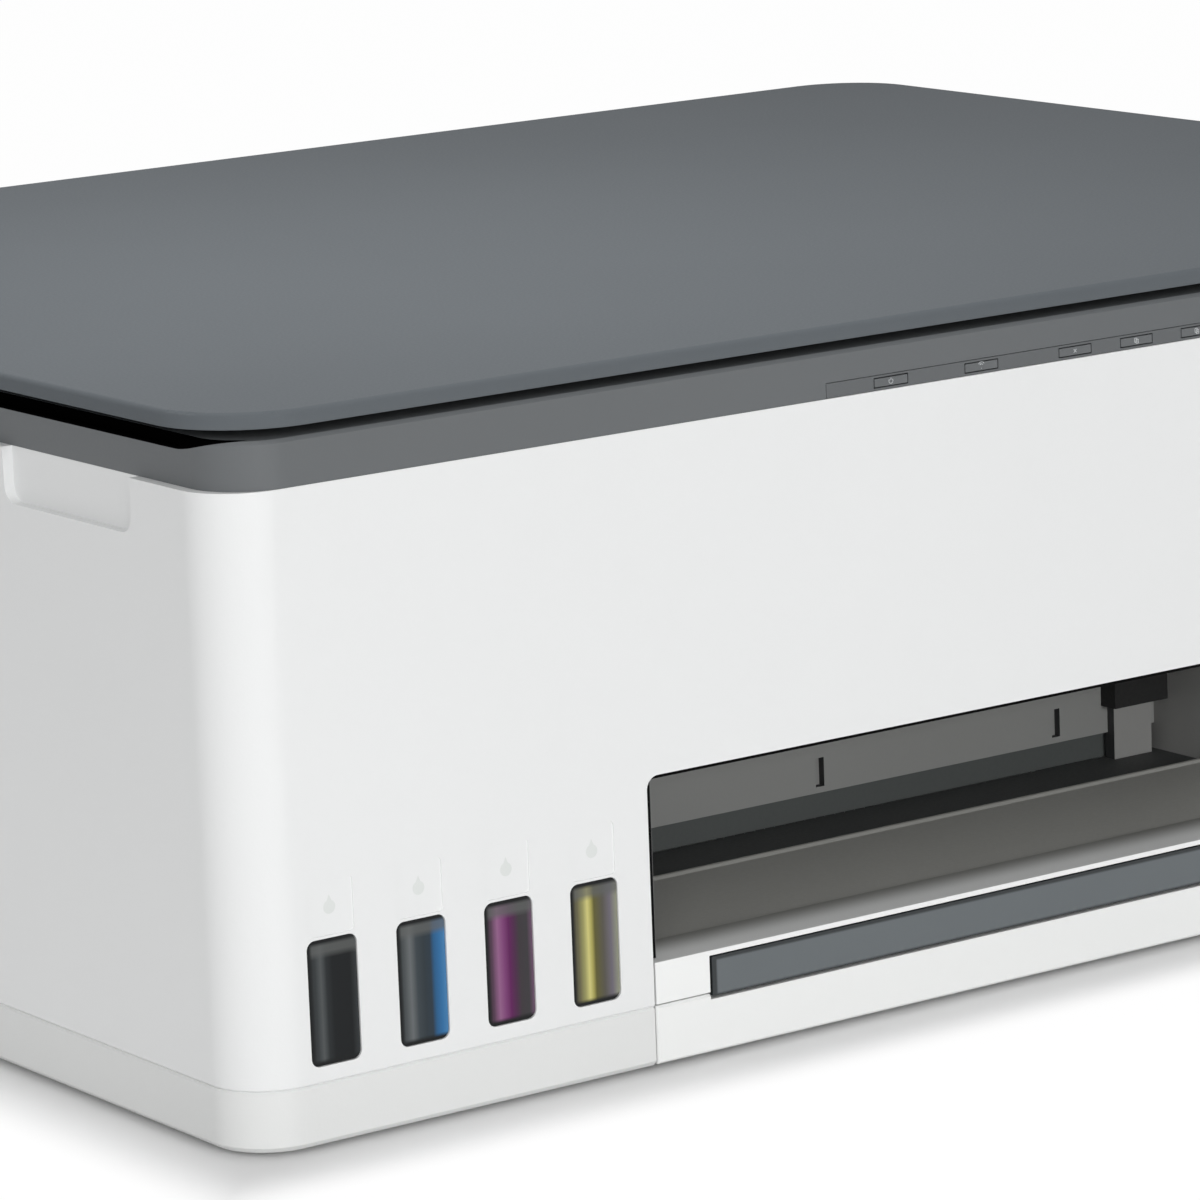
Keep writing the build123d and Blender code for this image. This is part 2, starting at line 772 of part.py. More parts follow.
# Star wheels on one thin axle
with BuildPart() as star_wheels:
    rod_x((-cavity_half + 0.5, cavity_half - 0.5), exit_roller_y, star_z, star_pin)
    for number in range(star_count):
        place = (number - (star_count - 1) / 2) * star_pitch
        with BuildSketch(Plane.YZ.offset(place - star_width / 2)):
            with Locations((exit_roller_y, star_z)):
                RegularPolygon(star_radius, 12)
                with PolarLocations(star_radius - 0.6, 12):
                    Circle(0.45)
        extrude(amount=star_width)
star_wheels.part.label = "star_wheels"
export_step(star_wheels.part, "parts/star_wheels.step")

# Input tray: front panel, floor, low walls and paper ribs
tray_floor = base_floor + tray_floor_gap
tray_floor_top = tray_floor + tray_floor_thickness
tray_rib_top = tray_floor_top + tray_rib
pinion_radius = gear_module * pinion_teeth / 2
rack_bottom = tray_floor_top + rack_gap
with BuildPart() as input_tray:
    block((-tray_half, tray_half), (front, front + tray_front_depth),
          (foot_height + slip, seam_z))
    chamfer(input_tray.edges().group_by(Axis.Y)[0], seam_chamfer)
    block((-tray_half + side_gap, tray_half - side_gap), (front + tray_front_depth - 1, tray_back),
          (tray_floor, tray_floor_top))
    for sign in (-1, 1):
        block(both((tray_half - side_gap - tray_wall, tray_half - side_gap), sign),
              (front + tray_front_depth - 1, tray_back), (tray_floor, tray_wall_top))
        for place in (40, 60, 80, 96):
            block((sign * place - 1, sign * place + 1), (front + tray_front_depth - 1, guide_y - 17),
                  (tray_floor_top, tray_rib_top))
            block((sign * place - 1, sign * place + 1), (guide_y + 17, tray_back - 2),
                  (tray_floor_top, tray_rib_top))
    block((-bar_half - bar_gap, bar_half + bar_gap), (front - 1, front + tray_front_depth + 1),
          (seam_z - notch_depth, seam_z + 1), Mode.SUBTRACT)
    with Locations((0, guide_y, tray_floor_top + (rack_gap + rack_height) / 2)):
        Cylinder(pinion_pin, rack_gap + rack_height)
input_tray.part.label = "input_tray"
export_step(input_tray.part, "parts/input_tray.step")


# Width guides: each a fence with a rack; the pinion between the racks couples them
rack_pitch = pi * gear_module
fence_x = paper_width / 2 + slip
rack_end = 4.0


def fence_and_rack(sign):
    """One fence and its rack; the right one is the left one turned half round the pinion."""
    block(both((fence_x, fence_x + fence_thickness), sign),
          (guide_y - guide_length / 2, guide_y + guide_length / 2),
          (rack_bottom + rack_height + slip, fence_top))
    root_y = guide_y + sign * (pinion_radius + 1.2 * gear_module)
    outer_y = root_y + sign * rack_width
    low_y, high_y = min(root_y, outer_y), max(root_y, outer_y)
    far_x = fence_x + fence_thickness
    block(both((-rack_end, far_x), sign), (low_y, high_y), (rack_bottom, rack_bottom + rack_height))
    block(both((fence_x, far_x), sign), (low_y, high_y), (rack_bottom, fence_top - 1))
    teeth = int((guide_travel + 2 * rack_end) / rack_pitch)
    with BuildSketch(Plane.XY.offset(rack_bottom)) as tooth_row:
        for number in range(teeth):
            tooth_x = sign * (number + 0.5) * rack_pitch
            with BuildLine():
                Polyline((tooth_x - tooth_root, root_y + sign * 0.2),
                         (tooth_x - tooth_tip, root_y - sign * tooth_height),
                         (tooth_x + tooth_tip, root_y - sign * tooth_height),
                         (tooth_x + tooth_root, root_y + sign * 0.2), close=True)
            make_face()
    extrude(tooth_row.sketch, amount=rack_height)


with BuildPart() as left_width_guide:
    fence_and_rack(-1)
left_width_guide.part.label = "left_width_guide"
export_step(left_width_guide.part, "parts/left_width_guide.step")

with BuildPart() as right_width_guide:
    fence_and_rack(1)
right_width_guide.part.label = "right_width_guide"
export_step(right_width_guide.part, "parts/right_width_guide.step")

with BuildPart() as guide_pinion:
    with BuildSketch(Plane(origin=(0, guide_y, rack_bottom))):
        Circle(pinion_radius - 1.2 * gear_module)
        with PolarLocations(pinion_radius - 1.4 * gear_module, pinion_teeth):
            with BuildLine():
                Polyline((0, -tooth_root), (tooth_height + 0.2, -tooth_tip),
                         (tooth_height + 0.2, tooth_tip), (0, tooth_root), close=True)
            make_face()
        Circle(pinion_pin + running_fit, mode=Mode.SUBTRACT)
    extrude(amount=rack_height)
guide_pinion.part.label = "guide_pinion"
export_step(guide_pinion.part, "parts/guide_pinion.step")

# Engine base: a plate between two cheeks that carry the rollers, and the motor's bracket
with BuildPart() as engine_base:
    block((-cheek_inner, cheek_inner), (cavity_back + slip, cheek_back),
          (plate_z, plate_z + plate_thickness))
    for sign in (-1, 1):
        block(both((cheek_inner, cheek_outer), sign), (cheek_front, cheek_back), (seam_z, path_z))
    block((bracket_x, bracket_x + bracket_thickness),
          (feed_motor_y - feed_motor_radius, cheek_back),
          (base_floor, roller_z + feed_motor_radius - 2))
    block((bracket_x, -cheek_outer), (cheek_back - 10, cheek_back), (seam_z, plate_z))
    for y, radius in ((exit_roller_y, exit_shaft), (feed_roller_y, feed_shaft)):
        rod_x((-cheek_outer - 1, cheek_outer + 1), y, roller_z, radius + running_fit,
              Mode.SUBTRACT)
    rod_x((bracket_x - 1, bracket_x + bracket_thickness + 1), feed_motor_y, roller_z,
          motor_shaft + 1, Mode.SUBTRACT)
engine_base.part.label = "engine_base"
export_step(engine_base.part, "parts/engine_base.step")

# Platen: a hollow bridge between the rollers, with ribs under the paper
platen_front = exit_roller_y + roller_radius + 0.8
platen_back = feed_roller_y - roller_radius - 0.8
platen_top = path_z - 2
platen_half = cheek_inner - 3
platen_ribs = 12
platen_pitch = 2 * platen_half / platen_ribs
with BuildPart() as platen:
    block((-platen_half, platen_half), (platen_front, platen_back), (plate_z + plate_thickness, platen_top))
    block((-platen_half + 2, platen_half - 2), (platen_front + 2, platen_back - 2),
          (plate_z + plate_thickness - 1, platen_top - 2), Mode.SUBTRACT)
    for number in range(platen_ribs):
        place = (number - (platen_ribs - 1) / 2) * platen_pitch
        block((place - 0.8, place + 0.8), (platen_front + 1, platen_back - 1),
              (platen_top - 0.5, path_z))
platen.part.label = "platen"
export_step(platen.part, "parts/platen.step")


def belt_pulley(x, y, z, bore=None):
    """Add a flanged pulley for the feed belt, turning about X."""
    low = x - pulley_width
    rod_x((low, x), y, z, pulley_radius)
    rod_x((low, low + flange_width), y, z, pulley_radius + flange_rise)
    rod_x((x - flange_width, x), y, z, pulley_radius + flange_rise)
    if bore:
        rod_x((low - 1, x + 1), y, z, bore, Mode.SUBTRACT)


# Feed roller with its shaft and pulley
with BuildPart() as feed_roller:
    rod_x((-platen_half + 1, platen_half - 1), feed_roller_y, roller_z, roller_radius)
    rod_x((pulley_inner_x - pulley_width, cheek_outer), feed_roller_y, roller_z, feed_shaft)
    belt_pulley(pulley_inner_x, feed_roller_y, roller_z)
feed_roller.part.label = "feed_roller"
export_step(feed_roller.part, "parts/feed_roller.step")

# Exit roller: rubber sleeves on a thinner shaft
with BuildPart() as exit_roller:
    rod_x((pulley_inner_x - pulley_width, cheek_outer), exit_roller_y, roller_z, exit_shaft)
    for number in range(sleeve_count):
        place = (number - (sleeve_count - 1) / 2) * sleeve_pitch
        rod_x((place - sleeve_width / 2, place + sleeve_width / 2), exit_roller_y, roller_z,
              roller_radius)
    belt_pulley(pulley_inner_x, exit_roller_y, roller_z)
exit_roller.part.label = "exit_roller"
export_step(exit_roller.part, "parts/exit_roller.step")

# Pinch rollers over the feed roller, on one axle
with BuildPart() as pinch_rollers:
    rod_x((-platen_half - 1, platen_half + 1), feed_roller_y, pinch_z, pinch_pin)
    for number in range(pinch_count):
        place = (number - (pinch_count - 1) / 2) * pinch_pitch
        rod_x((place - pinch_width / 2, place + pinch_width / 2), feed_roller_y, pinch_z,
              pinch_radius)
pinch_rollers.part.label = "pinch_rollers"
export_step(pinch_rollers.part, "parts/pinch_rollers.step")

# Feed motor on its bracket, and its pulley
with BuildPart() as feed_motor:
    rod_x((bracket_x - feed_motor_length, bracket_x), feed_motor_y, roller_z, feed_motor_radius)
    rod_x((bracket_x - 1, pulley_inner_x), feed_motor_y, roller_z, motor_shaft)
feed_motor.part.label = "feed_motor"
export_step(feed_motor.part, "parts/feed_motor.step")

with BuildPart() as motor_pulley:
    belt_pulley(pulley_inner_x, feed_motor_y, roller_z, motor_shaft + running_fit)
motor_pulley.part.label = "motor_pulley"
export_step(motor_pulley.part, "parts/motor_pulley.step")

# Feed belt round the motor's, the feed roller's and the exit roller's pulleys
with BuildPart() as feed_belt:
    belt_middle = (exit_roller_y + feed_motor_y) / 2
    belt_span = feed_motor_y - exit_roller_y
    with BuildSketch(Plane.YZ.offset(pulley_inner_x - (pulley_width + belt_width) / 2)):
        with Locations((belt_middle, roller_z)):
            inner_belt = pulley_radius + belt_gap
            outer_belt = inner_belt + belt_thickness
            SlotCenterToCenter(belt_span, 2 * outer_belt)
            SlotCenterToCenter(belt_span, 2 * inner_belt, mode=Mode.SUBTRACT)
    extrude(amount=belt_width)
feed_belt.part.label = "feed_belt"
export_step(feed_belt.part, "parts/feed_belt.step")

# Inner guide of the paper's turn, with the pick arm's bosses under its top
with BuildPart() as turn_guide:
    guide_half = cheek_outer - 1
    block((-guide_half, guide_half), (cheek_back + 2, turn_y), (turn_z + turn_inner - turn_wall,
                                                                 turn_z + turn_inner))
    block((-platen_half + 1, platen_half - 1), (feed_roller_y + roller_radius + 1.5, cheek_back + 3),
          (turn_z + turn_inner - turn_wall, turn_z + turn_inner))
    with BuildSketch(Plane.YZ.offset(-guide_half)):
        with Locations((turn_y, turn_z)):
            Circle(turn_inner)
            Circle(turn_inner - turn_wall, mode=Mode.SUBTRACT)
            with Locations((-turn_inner, 0)):
                Rectangle(2 * turn_inner, 4 * turn_inner, mode=Mode.SUBTRACT)
    extrude(amount=2 * guide_half)
    for sign in (-1, 1):
        block(both((guide_half - 3, guide_half), sign), (cheek_back + 12, turn_y),
              (seam_z, turn_z + turn_inner - turn_wall))
        boss = both((pick_arm_half + slip, pick_arm_half + slip + pick_boss), sign)
        block(boss, (pick_y - 6, pick_y + 6), (pick_z - 6, turn_z + turn_inner - turn_wall))
        rod_x(both((pick_arm_half, pick_arm_half + slip + pick_boss + 1), sign), pick_y, pick_z,
              pick_pin + running_fit, Mode.SUBTRACT)
turn_guide.part.label = "turn_guide"
export_step(turn_guide.part, "parts/turn_guide.step")

# Pick arm: two side bars and a bridge, on side pins, with the roller's axle
pick_roller_z = pick_rest_z + pick_roller_radius
with BuildPart() as pick_arm:
    for sign in (-1, 1):
        with BuildSketch(Plane.YZ.offset(sign * pick_arm_half)):
            with BuildLine():
                Polyline((pick_y, pick_z + 5), (pick_y + 8, pick_z + 4),
                         (pick_roller_y, pick_roller_z + 5), (pick_roller_y, pick_roller_z - 5),
                         (pick_y, pick_z - 5), close=True)
            make_face()
            with Locations((pick_y, pick_z), (pick_roller_y, pick_roller_z)):
                Circle(5)
        extrude(amount=-sign * pick_arm_wall)
        rod_x(both((pick_arm_half - 1, pick_arm_half + slip + pick_boss), sign), pick_y, pick_z,
              pick_pin)
    block((-pick_arm_half, pick_arm_half), (pick_y - 4, pick_y + 10), (pick_z - 3, pick_z + 3))
    rod_x((-pick_arm_half, pick_arm_half), pick_roller_y, pick_roller_z, pick_pin)
pick_arm.part.label = "pick_arm"
export_step(pick_arm.part, "parts/pick_arm.step")

with BuildPart() as pick_roller:
    rod_x((-pick_roller_half, pick_roller_half), pick_roller_y, pick_roller_z, pick_roller_radius)
    rod_x((-pick_arm_half, pick_arm_half), pick_roller_y, pick_roller_z,
          pick_pin + running_fit, Mode.SUBTRACT)
pick_roller.part.label = "pick_roller"
export_step(pick_roller.part, "parts/pick_roller.step")

# Sheet metal frame: a rear plate, two side plates, pinch tabs and the idler's pin
with BuildPart() as engine_frame:
    block((frame_left, frame_right), (frame_back - sheet, frame_back), (frame_low, frame_top))
    block((frame_left, frame_right), (frame_back - sheet, frame_back + 14),
          (frame_top - sheet, frame_top))
    block((frame_left, frame_left + sheet), (frame_front, frame_back), (frame_low, frame_top))
    block((frame_left, frame_left + sheet), (rod_y - 12, frame_back), (base_floor, frame_top))
    block((frame_right - sheet, frame_right), (frame_front, frame_back), (base_floor, frame_top))
    for number in range(pinch_count + 1):
        place = (number - pinch_count / 2) * pinch_pitch
        block((place - sheet / 2, place + sheet / 2), (feed_roller_y - 3, frame_back),
              (pinch_z - 2.5, frame_low + 2))
    rod_x((-cheek_outer, cheek_outer), feed_roller_y, pinch_z, pinch_pin + running_fit, Mode.SUBTRACT)
    rod_x((frame_left - 1, frame_right + 1), rod_y, rod_z, rod_radius + 0.02, Mode.SUBTRACT)
    rod_y_way(drive_x, (-5, frame_back + 1), belt_z, motor_shaft + 2.5, Mode.SUBTRACT)
    rod_y_way(idler_x, (belt_y - 3.5, frame_back - 0.5), belt_z, idler_pin)
    # Lightening holes
    with BuildSketch(Plane.XZ.offset(-frame_back - 1)):
        for place in (-80, 0, 80):
            with Locations((place, (frame_low + frame_top) / 2 + 6)):
                SlotOverall(50, 14)
    extrude(amount=sheet + 2, mode=Mode.SUBTRACT)
engine_frame.part.label = "engine_frame"
export_step(engine_frame.part, "parts/engine_frame.step")

with BuildPart() as guide_rod:
    rod_x((frame_left, frame_right), rod_y, rod_z, rod_radius)
guide_rod.part.label = "guide_rod"
export_step(guide_rod.part, "parts/guide_rod.step")

# Carriage belt and its two pulleys
with BuildPart() as carriage_belt:
    with BuildSketch(Plane.XZ.offset(-(belt_y - 2.5))):
        with Locations(((drive_x + idler_x) / 2, belt_z)):
            inner_loop = carriage_pulley + belt_gap
            outer_loop = inner_loop + belt_thickness
            SlotCenterToCenter(drive_x - idler_x, 2 * outer_loop)
            SlotCenterToCenter(drive_x - idler_x, 2 * inner_loop, mode=Mode.SUBTRACT)
    extrude(amount=-5)
carriage_belt.part.label = "carriage_belt"
export_step(carriage_belt.part, "parts/carriage_belt.step")


def carriage_wheel(x, bore):
    """Add a flanged pulley for the carriage belt, turning about Y."""
    rod_y_way(x, (belt_y - 3, belt_y + 3), belt_z, carriage_pulley)
    for sign in (-1, 1):
        edge = belt_y + sign * 3.2
        rod_y_way(x, (edge - 0.3, edge + 0.3), belt_z, carriage_pulley + 2)
    rod_y_way(x, (belt_y - 5, belt_y + 5), belt_z, bore + running_fit, Mode.SUBTRACT)


with BuildPart() as drive_pulley:
    carriage_wheel(drive_x, motor_shaft)
drive_pulley.part.label = "drive_pulley"
export_step(drive_pulley.part, "parts/drive_pulley.step")

with BuildPart() as idler_pulley:
    carriage_wheel(idler_x, idler_pin)
idler_pulley.part.label = "idler_pulley"
export_step(idler_pulley.part, "parts/idler_pulley.step")

with BuildPart() as carriage_motor:
    rod_y_way(drive_x, (frame_back, frame_back + carriage_motor_length), belt_z - 2,
              carriage_motor_radius)
    rod_y_way(drive_x, (frame_back - 1, frame_back + 1), belt_z, motor_shaft + 2)
    rod_y_way(drive_x, (belt_y - 4, frame_back + 2), belt_z, motor_shaft)
carriage_motor.part.label = "carriage_motor"
export_step(carriage_motor.part, "parts/carriage_motor.step")

# Carriage: two pockets over a narrow throat, a bearing on the rod and a belt clamp
carriage_low = home_x - carriage_width / 2
carriage_high = home_x + carriage_width / 2
pocket_width = (carriage_width - 3 * head_wall) / 2
head_centres = (home_x - (pocket_width + head_wall) / 2, home_x + (pocket_width + head_wall) / 2)
with BuildPart() as carriage:
    block((carriage_low, carriage_high), (carriage_front, carriage_back),
          (carriage_floor, carriage_top))
    block((carriage_low, carriage_high), (throat_front, throat_back),
          (throat_bottom, carriage_floor))
    block((home_x - bearing_half, home_x + bearing_half), (carriage_back, bearing_back),
          (carriage_floor, bearing_top))
    lower_run = belt_z - carriage_pulley - belt_gap
    block((home_x - clamp_half, home_x + clamp_half), (bearing_back, belt_y + 3),
          (lower_run + slip, lower_run + slip + clamp_height))
    for centre in head_centres:
        half = pocket_width / 2
        block((centre - half, centre + half),
              (carriage_front + head_wall, carriage_back - head_wall),
              (head_seat, carriage_top + 1), Mode.SUBTRACT)
        block((centre - half + 2, centre + half - 2), (throat_front + 2, throat_back - 2),
              (throat_bottom - 1, head_seat + 1), Mode.SUBTRACT)
    rod_x((carriage_low, carriage_high), rod_y, rod_z, rod_radius + running_fit, Mode.SUBTRACT)
    # Lugs with pins for the latch
    for sign in (-1, 1):
        edge = home_x + sign * carriage_width / 2
        lug = (min(edge, edge - sign * 1.8), max(edge, edge - sign * 1.8))
        block(lug, (latch_y - 3, latch_y + 3), (carriage_top - 2, latch_z + 2.5))
        rod_x((min(edge, edge - sign * 4), max(edge, edge - sign * 4)), latch_y, latch_z, latch_pin)
carriage.part.label = "carriage"
export_step(carriage.part, "parts/carriage.step")

# Printheads standing in the carriage's pockets
with BuildPart() as printheads:
    for centre in head_centres:
        half = pocket_width / 2 - head_gap
        block((centre - half, centre + half),
              (carriage_front + head_wall + head_gap, carriage_back - head_wall - head_gap),
              (head_seat, carriage_top - 1))
        block((centre - half + 2, centre + half - 2),
              (throat_front + 2 + head_gap, throat_back - 2 - head_gap), (nozzle_z, head_seat + 1))
printheads.part.label = "printheads"
export_step(printheads.part, "parts/printheads.step")

# Latch over the printheads
with BuildPart() as carriage_latch:
    latch_half = carriage_width / 2 - 1.8 - slip
    block((home_x - latch_half, home_x + latch_half), (latch_y, latch_y + latch_reach),
          (latch_z - latch_thickness / 2, latch_z + latch_thickness / 2))
    rod_x((home_x - latch_half, home_x + latch_half), latch_y, latch_z, latch_thickness / 2 + 0.4)
    rod_x((home_x - latch_half - 1, home_x + latch_half + 1), latch_y, latch_z,
          latch_pin + running_fit, Mode.SUBTRACT)
carriage_latch.part.label = "carriage_latch"
export_step(carriage_latch.part, "parts/carriage_latch.step")

# Service station and the sled with the two nozzle caps
with BuildPart() as service_station:
    block(station_x, station_y, (base_floor, station_top))
    block((station_x[0] + station_wall, station_x[1] - station_wall),
          (station_y[0] + station_wall, station_y[1] - station_wall),
          (base_floor + station_wall, station_top + 1), Mode.SUBTRACT)
service_station.part.label = "service_station"
export_step(service_station.part, "parts/service_station.step")

cap_rest_top = nozzle_z - slip - sled_travel
sled_top = cap_rest_top - cup_depth
with BuildPart() as cap_sled:
    sled_x = (station_x[0] + station_wall + side_gap, station_x[1] - station_wall - side_gap)
    sled_y = (station_y[0] + station_wall + side_gap, station_y[1] - station_wall - side_gap)
    block(sled_x, sled_y, (sled_top - sled_plate, sled_top))
    for x in (sled_x[0], sled_x[1] - 5):
        for y in (sled_y[0], sled_y[1] - 5):
            block((x, x + 5), (y, y + 5), (base_floor + station_wall + slip, sled_top))
    for centre in head_centres:
        half = pocket_width / 2 - 1
        block((centre - half, centre + half), (throat_front, throat_back),
              (sled_top - 1, cap_rest_top))
        block((centre - half + cup_wall, centre + half - cup_wall),
              (throat_front + cup_wall, throat_back - cup_wall),
              (sled_top + 2, cap_rest_top + 1), Mode.SUBTRACT)
    # Wiper blade in front of the caps
    block((head_centres[0] - 9, head_centres[1] + 9), (throat_front - 6, throat_front - 4.8),
          (sled_top - 1, cap_rest_top))
cap_sled.part.label = "cap_sled"
export_step(cap_sled.part, "parts/cap_sled.step")

# Main board on its bosses, with raised components
with BuildPart() as main_board:
    block((board_x, board_x + board_thickness), board_y, board_z)
    for along, up, depth, width, height in ((0.19, 0.50, 3, 22, 22), (0.48, 0.69, 2.5, 14, 18),
                                            (0.33, 0.19, 8, 24, 7), (0.67, 0.31, 12, 10, 10),
                                            (0.78, 0.81, 8, 24, 7), (0.56, 0.12, 2, 16, 10)):
        y = board_y[0] + along * (board_y[1] - board_y[0])
        z = board_z[0] + up * (board_z[1] - board_z[0])
        block((board_x - depth, board_x + 0.5), (y - width / 2, y + width / 2),
              (z - height / 2, z + height / 2))
main_board.part.label = "main_board"
export_step(main_board.part, "parts/main_board.step")

# Data socket: a square metal shell at the board's rear edge
with BuildPart() as usb_socket:
    block((board_x - usb_size, board_x), (board_y[1] - 2, back - 0.5), (usb_z, usb_z + usb_size))
    block((board_x - usb_size + 1.5, board_x - 1.5), (back - 10, back + 1),
          (usb_z + 1.5, usb_z + usb_size - 1.5), Mode.SUBTRACT)
    block((board_x - usb_size / 2 - 2.8, board_x - usb_size / 2 + 2.8), (back - 11, back - 2),
          (usb_z + usb_size / 2 - 1.4, usb_z + usb_size / 2 + 1.4))
usb_socket.part.label = "usb_socket"
export_step(usb_socket.part, "parts/usb_socket.step")

# Power supply with the mains inlet at its rear
with BuildPart() as power_supply:
    block(supply_x, supply_y, (base_floor, supply_top))
    block((inlet_x - inlet_width / 2, inlet_x + inlet_width / 2), (supply_y[1] - 1, back - 0.5),
          (inlet_z - inlet_height / 2, inlet_z + inlet_height / 2))
    with BuildSketch(Plane.XZ.offset(-back)):
        with Locations((inlet_x, inlet_z)):
            SlotOverall(inlet_width - 4, inlet_height - 7)
    extrude(amount=inlet_depth, mode=Mode.SUBTRACT)
    for sign in (-1, 1):
        rod_y_way(inlet_x + sign * 3.5, (back - inlet_depth - 1, back - 2.5), inlet_z, 1.2)
power_supply.part.label = "power_supply"
export_step(power_supply.part, "parts/power_supply.step")

# Rear door: a shallow tray-shaped shell with curved ribs that turn the paper
door_front = back + slip
door_back = back + rear_reach
with BuildPart() as rear_door:
    with BuildSketch(Plane.YZ.offset(-door_half)):
        with BuildLine():
            Polyline((hinge_y - hinge_pin - 0.7, door_bottom), (door_back, door_bottom),
                     (door_back, door_top), (door_front, door_top), (door_front, door_axis_z),
                     close=True)
        make_face()
    extrude(amount=2 * door_half)
    fillet(rear_door.edges().filter_by(Axis.X).group_by(Axis.Y)[-1], door_round)
    with BuildSketch(Plane.YZ.offset(-door_half + door_wall)):
        with BuildLine():
            inner_low, inner_high = door_bottom + door_wall, door_top - door_wall
            Polyline((front, inner_low), (door_back - door_wall, inner_low),
                     (door_back - door_wall, inner_high), (front, inner_high), close=True)
        make_face()
    extrude(amount=2 * (door_half - door_wall), mode=Mode.SUBTRACT)
    rib_low = (turn_y + turn_outer, turn_z)
    rib_mid = (turn_y + turn_outer * cos(radians(30)), turn_z + turn_outer * sin(radians(30)))
    rib_high = (turn_y + turn_outer * cos(radians(60)), turn_z + turn_outer * sin(radians(60)))
    for number in range(5):
        place = (number - 2) * door_rib_pitch
        with BuildSketch(Plane.YZ.offset(place - door_rib / 2)):
            with BuildLine():
                ThreePointArc(rib_low, rib_mid, rib_high)
                Polyline(rib_high, (rib_high[0], rib_high[1] + 4), (door_back - 1, rib_high[1] + 10),
                         (door_back - 1, turn_z), rib_low)
            make_face()
        extrude(amount=door_rib)
    for sign in (-1, 1):
        rod_x(both((door_half - door_wall - 1, door_half + 1), sign), hinge_y, door_axis_z,
              hinge_pin + running_fit, Mode.SUBTRACT)
    # Grip groove near the top
    block((-30, 30), (door_back - 1.2, door_back + 1), (door_top - 16, door_top - 8), Mode.SUBTRACT)
rear_door.part.label = "rear_door"
export_step(rear_door.part, "parts/rear_door.step")

# Scanner base: a tub that nests in the case, with a flange under the band
tub_half = side - tub_inset
tub_front = front + tub_inset
tub_back = back - tub_inset
with BuildPart() as scanner_base:
    plan(tub_floor, 2 * tub_half, case_depth - 2 * tub_inset, 6, case_top - tub_floor)
    plan(case_top, 2 * (band_half - case_wall - slip), case_depth - 2 * case_wall - 2 * slip,
         inner_corner - slip, flange_thickness)
    plan(tub_floor + tub_wall, 2 * (tub_half - tub_wall), case_depth - 2 * (tub_inset + tub_wall),
         4, case_height, Mode.SUBTRACT)
    block((-panel_half - 6, panel_half + 6), (front, inner_front + 8),
          (case_top - 1, case_top + flange_thickness + 1), Mode.SUBTRACT)
    # Blocks that hold the ends of the scan bar's rod
    rod_seat_z = tub_floor + tub_wall + 1.5 + scan_rod_radius
    rod_block_x = glass_x[1] + rod_block_offset
    for low, high in ((-tub_half + tub_wall - 0.5, -tub_half + tub_wall + 6),
                      (rod_block_x, rod_block_x + rod_block_length)):
        block((low, high), (rod_line_y - bush_half, rod_line_y + bush_half),
              (tub_floor + tub_wall, rod_seat_z + scan_rod_radius + 1))
    rod_x((-tub_half + tub_wall, rod_block_x + rod_block_length + 1), rod_line_y, rod_seat_z,
          scan_rod_radius + 0.02, Mode.SUBTRACT)
scanner_base.part.label = "scanner_base"
export_step(scanner_base.part, "parts/scanner_base.step")

with BuildPart() as scan_rod:
    rod_x((-tub_half + tub_wall + 0.2, rod_block_x + rod_block_length), rod_line_y, rod_seat_z,
          scan_rod_radius)
scan_rod.part.label = "scan_rod"
export_step(scan_rod.part, "parts/scan_rod.step")

